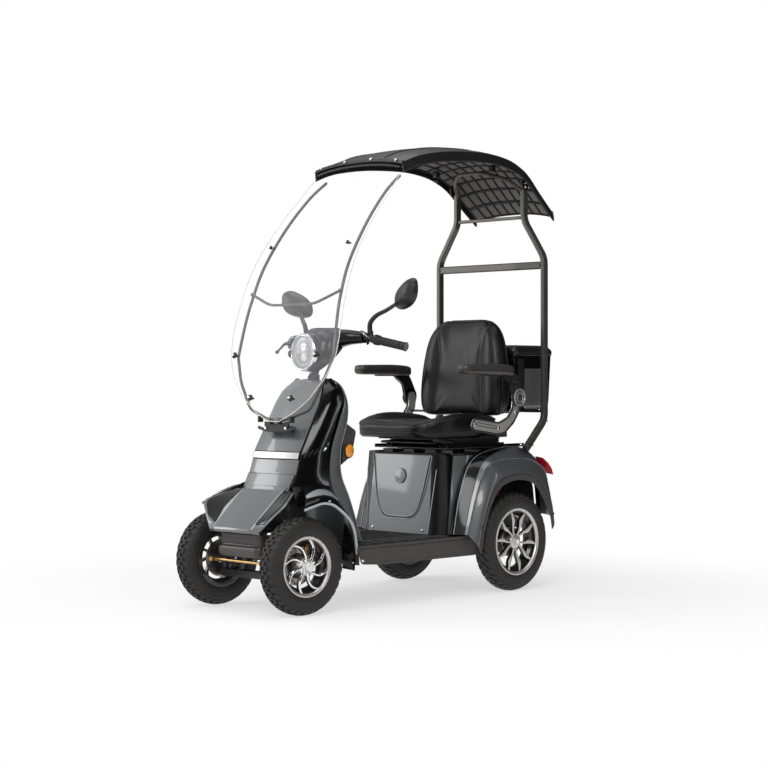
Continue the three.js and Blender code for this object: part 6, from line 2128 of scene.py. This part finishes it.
def armrest(side):
    """A swing-up arm with its stepped pivot disc, and the pad on it."""
    name = f"armrest_{SIDE_NAME[side]}"
    place = SIDE_PLACE[side]
    arm = Piece(f"{name}_arm", name, "satin_black")
    arm.add(side_plate(rounded(ARM_WEB, 12, 5, True), 301, 313), SATIN, place)
    raised = [V(313, 38 + (p.x - 10) * 0.7 - 32, 845 + (p.y - 845) * 0.72) for p in ARM_WEB]
    arm.add(tube(rounded(raised, 8, 4, True), 1.3, 6, closed=True), SATIN, place)
    for radius, depth, x in ((38, 7, 301), (38, 3, 312), (33, 2.2, 315), (26, 2.4, 316.5),
                             (13, 2.6, 318)):
        disc = lathe([(0, 0), (radius - 1.5, 0), (radius, 1), (radius, depth - 1),
                      (radius - 2, depth), (0, depth)], 44)
        arm.add(moved(disc, Matrix.Translation(V(x, *ARM_PIVOT))), BROWN, place)
    # painted highlight rings on the edges of the stepped disc
    for radius in (35.5, 29.5, 19):
        ring = [V(319.2 if radius < 26 else 318, *(ARM_PIVOT + p))
                for p in ring_outline(radius, radius, count=44)]
        arm.add(tube(ring, 1.4, 6, closed=True), PAINTED_HIGHLIGHT_GREY, place)
    for y, z in ((10, 872), (22, 846)):
        arm.add(bolt(V(313, y, z), (1, 0, 0), 6, 2.4), STEEL, place)
    arm.add(block(282, 306, -190, -20, 894, 902, 6), STEEL, place)
    arm.make([name], bevel=1.6, sharp=40)
    pad = Piece(f"{name}_pad", name, "satin_black")
    rows = spline(ARM_PAD, 24)
    rings = []
    for y, z0, z1, w in rows:
        ring = ring_outline(w, (z1 - z0) / 2, 0.55, 32)
        rings.append([V(292 + p.x, y, (z0 + z1) / 2 + p.y) for p in ring])
    pad.add(loft(rings), BROWN, place)
    groove = []
    for x_side in (1, -1):
        line = [V(292 + x_side * (w + 0.3), y, z0 + 0.42 * (z1 - z0)) for y, z0, z1, w in rows]
        groove += line if x_side > 0 else list(reversed(line))
    pad.add(tube(groove, 1.3, 6, closed=True), DARK, place)
    obj = pad.make(sharp=60)


seat_frame()
seat_cushion()
backrest()
for arm_side in (1, -1):
    armrest(arm_side)


# ---- camera, floor and light ----
CAMERA_POINT = V(5029.58, -5753.50, 886.30)
CAMERA_AZIMUTH = math.radians(43.4827)
CAMERA_PITCH = math.radians(-0.16976)
CAMERA_LENS = 83.458
FLOOR_RADIUS = 3.6
FADE_FROM, FADE_TO = 0.95, 2.3


def camera():
    azimuth, pitch = CAMERA_AZIMUTH, CAMERA_PITCH
    data = bpy.data.cameras.new("camera")
    data.sensor_width = 36
    data.lens = CAMERA_LENS
    data.shift_y = -0.0012
    data.clip_end = 100
    view = bpy.data.objects.new("camera", data)
    view.location = to_row(CAMERA_POINT)
    look = V(-math.sin(azimuth) * math.cos(pitch), math.cos(azimuth) * math.cos(pitch),
             math.sin(pitch))
    view.rotation_euler = look.to_track_quat("-Z", "Y").to_euler()
    bpy.context.scene.collection.objects.link(view)
    bpy.context.scene.camera = view


def ramp_node(nodes, stops):
    """A colour ramp of greys from (place, level) stops."""
    ramp = nodes.new("ShaderNodeValToRGB")
    elements = ramp.color_ramp.elements
    elements.remove(elements[1])
    for i, (place, level) in enumerate(stops):
        stop = elements[0] if i == 0 else elements.new(place)
        stop.position = place
        stop.color = (level, level, level, 1)
    return ramp


def floor():
    """A pale round studio floor that fades into the white surround."""
    mesh = bpy.data.meshes.new("studio_floor")
    rim = ring_outline(FLOOR_RADIUS, FLOOR_RADIUS, count=64)
    mesh.from_pydata([(p.x, p.y, 0) for p in rim], [], [tuple(range(len(rim)))])
    obj = bpy.data.objects.new("studio_floor", mesh)
    paint = material("studio_floor_paint", (0.86, 0.86, 0.86), 0.6, mottle=0.01, mottle_size=400,
                     specular=0.1)
    nodes, links = paint.node_tree.nodes, paint.node_tree.links
    place = nodes.new("ShaderNodeTexCoord")
    reach = nodes.new("ShaderNodeVectorMath")
    reach.operation = "LENGTH"
    links.new(place.outputs["Object"], reach.inputs[0])
    fade = nodes.new("ShaderNodeMapRange")
    fade.interpolation_type = "SMOOTHSTEP"
    fade.inputs["From Min"].default_value = FADE_FROM
    fade.inputs["From Max"].default_value = FADE_TO
    fade.inputs["To Min"].default_value = 0.6
    links.new(reach.outputs["Value"], fade.inputs["Value"])
    white = nodes.new("ShaderNodeEmission")
    mix = nodes.new("ShaderNodeMixShader")
    links.new(fade.outputs["Result"], mix.inputs["Fac"])
    links.new(nodes["Principled BSDF"].outputs["BSDF"], mix.inputs[1])
    links.new(white.outputs["Emission"], mix.inputs[2])
    links.new(mix.outputs["Shader"], nodes["Material Output"].inputs["Surface"])
    mesh.materials.append(paint)
    bpy.context.scene.collection.objects.link(obj)


def area_light(name, place, aim, size, power):
    """A soft box at a place, turned towards its aim; power is in watts."""
    data = bpy.data.lights.new(name, "AREA")
    data.shape = "RECTANGLE"
    data.size, data.size_y = size
    data.energy = power
    lamp = bpy.data.objects.new(name, data)
    lamp.location = place
    lamp.rotation_euler = (Vector(aim) - Vector(place)).to_track_quat("-Z", "Y").to_euler()
    bpy.context.scene.collection.objects.link(lamp)


def studio_light():
    """Soft boxes round the scooter, in a surround that is bright ahead and dark behind it."""
    area_light("key_softbox", (2.6, -4.2, 3.4), (0, 0, 0.7), (2.4, 2.4), 120)
    area_light("side_strip", (4.4, 2.6, 1.5), (0, 0.2, 0.7), (0.16, 3.4), 12)
    area_light("side_softbox", (4.4, -1.4, 2.9), (0, 0.2, 0.7), (0.9, 1.6), 40)
    area_light("left_softbox", (-3.8, -3.0, 2.2), (0, -0.4, 0.7), (1.6, 2.6), 60)
    area_light("top_softbox", (0, 0.2, 4.6), (0, 0, 0), (4.0, 4.0), 95)
    world = bpy.data.worlds.new("studio")
    world.use_nodes = True
    nodes, links = world.node_tree.nodes, world.node_tree.links
    place = nodes.new("ShaderNodeTexCoord")
    lean = nodes.new("ShaderNodeVectorMath")
    lean.operation = "DOT_PRODUCT"
    lean.inputs[1].default_value = (-0.62, -0.66, 0.42)
    links.new(place.outputs["Generated"], lean.inputs[0])
    spread = nodes.new("ShaderNodeMapRange")
    spread.inputs["From Min"].default_value = -1
    links.new(lean.outputs["Value"], spread.inputs["Value"])
    ramp = ramp_node(nodes, [(0.0, 0.02), (0.4, 0.03), (0.55, 0.16), (0.68, 0.5), (0.85, 0.8)])
    links.new(spread.outputs["Result"], ramp.inputs["Fac"])
    path = nodes.new("ShaderNodeLightPath")
    seen = nodes.new("ShaderNodeMixRGB")
    links.new(path.outputs["Is Camera Ray"], seen.inputs["Fac"])
    links.new(ramp.outputs["Color"], seen.inputs["Color1"])
    seen.inputs["Color2"].default_value = (1, 1, 1, 1)
    links.new(seen.outputs["Color"], nodes["Background"].inputs["Color"])
    bpy.context.scene.world = world
    bpy.context.scene.view_settings.view_transform = "Standard"


camera()
floor()
studio_light()
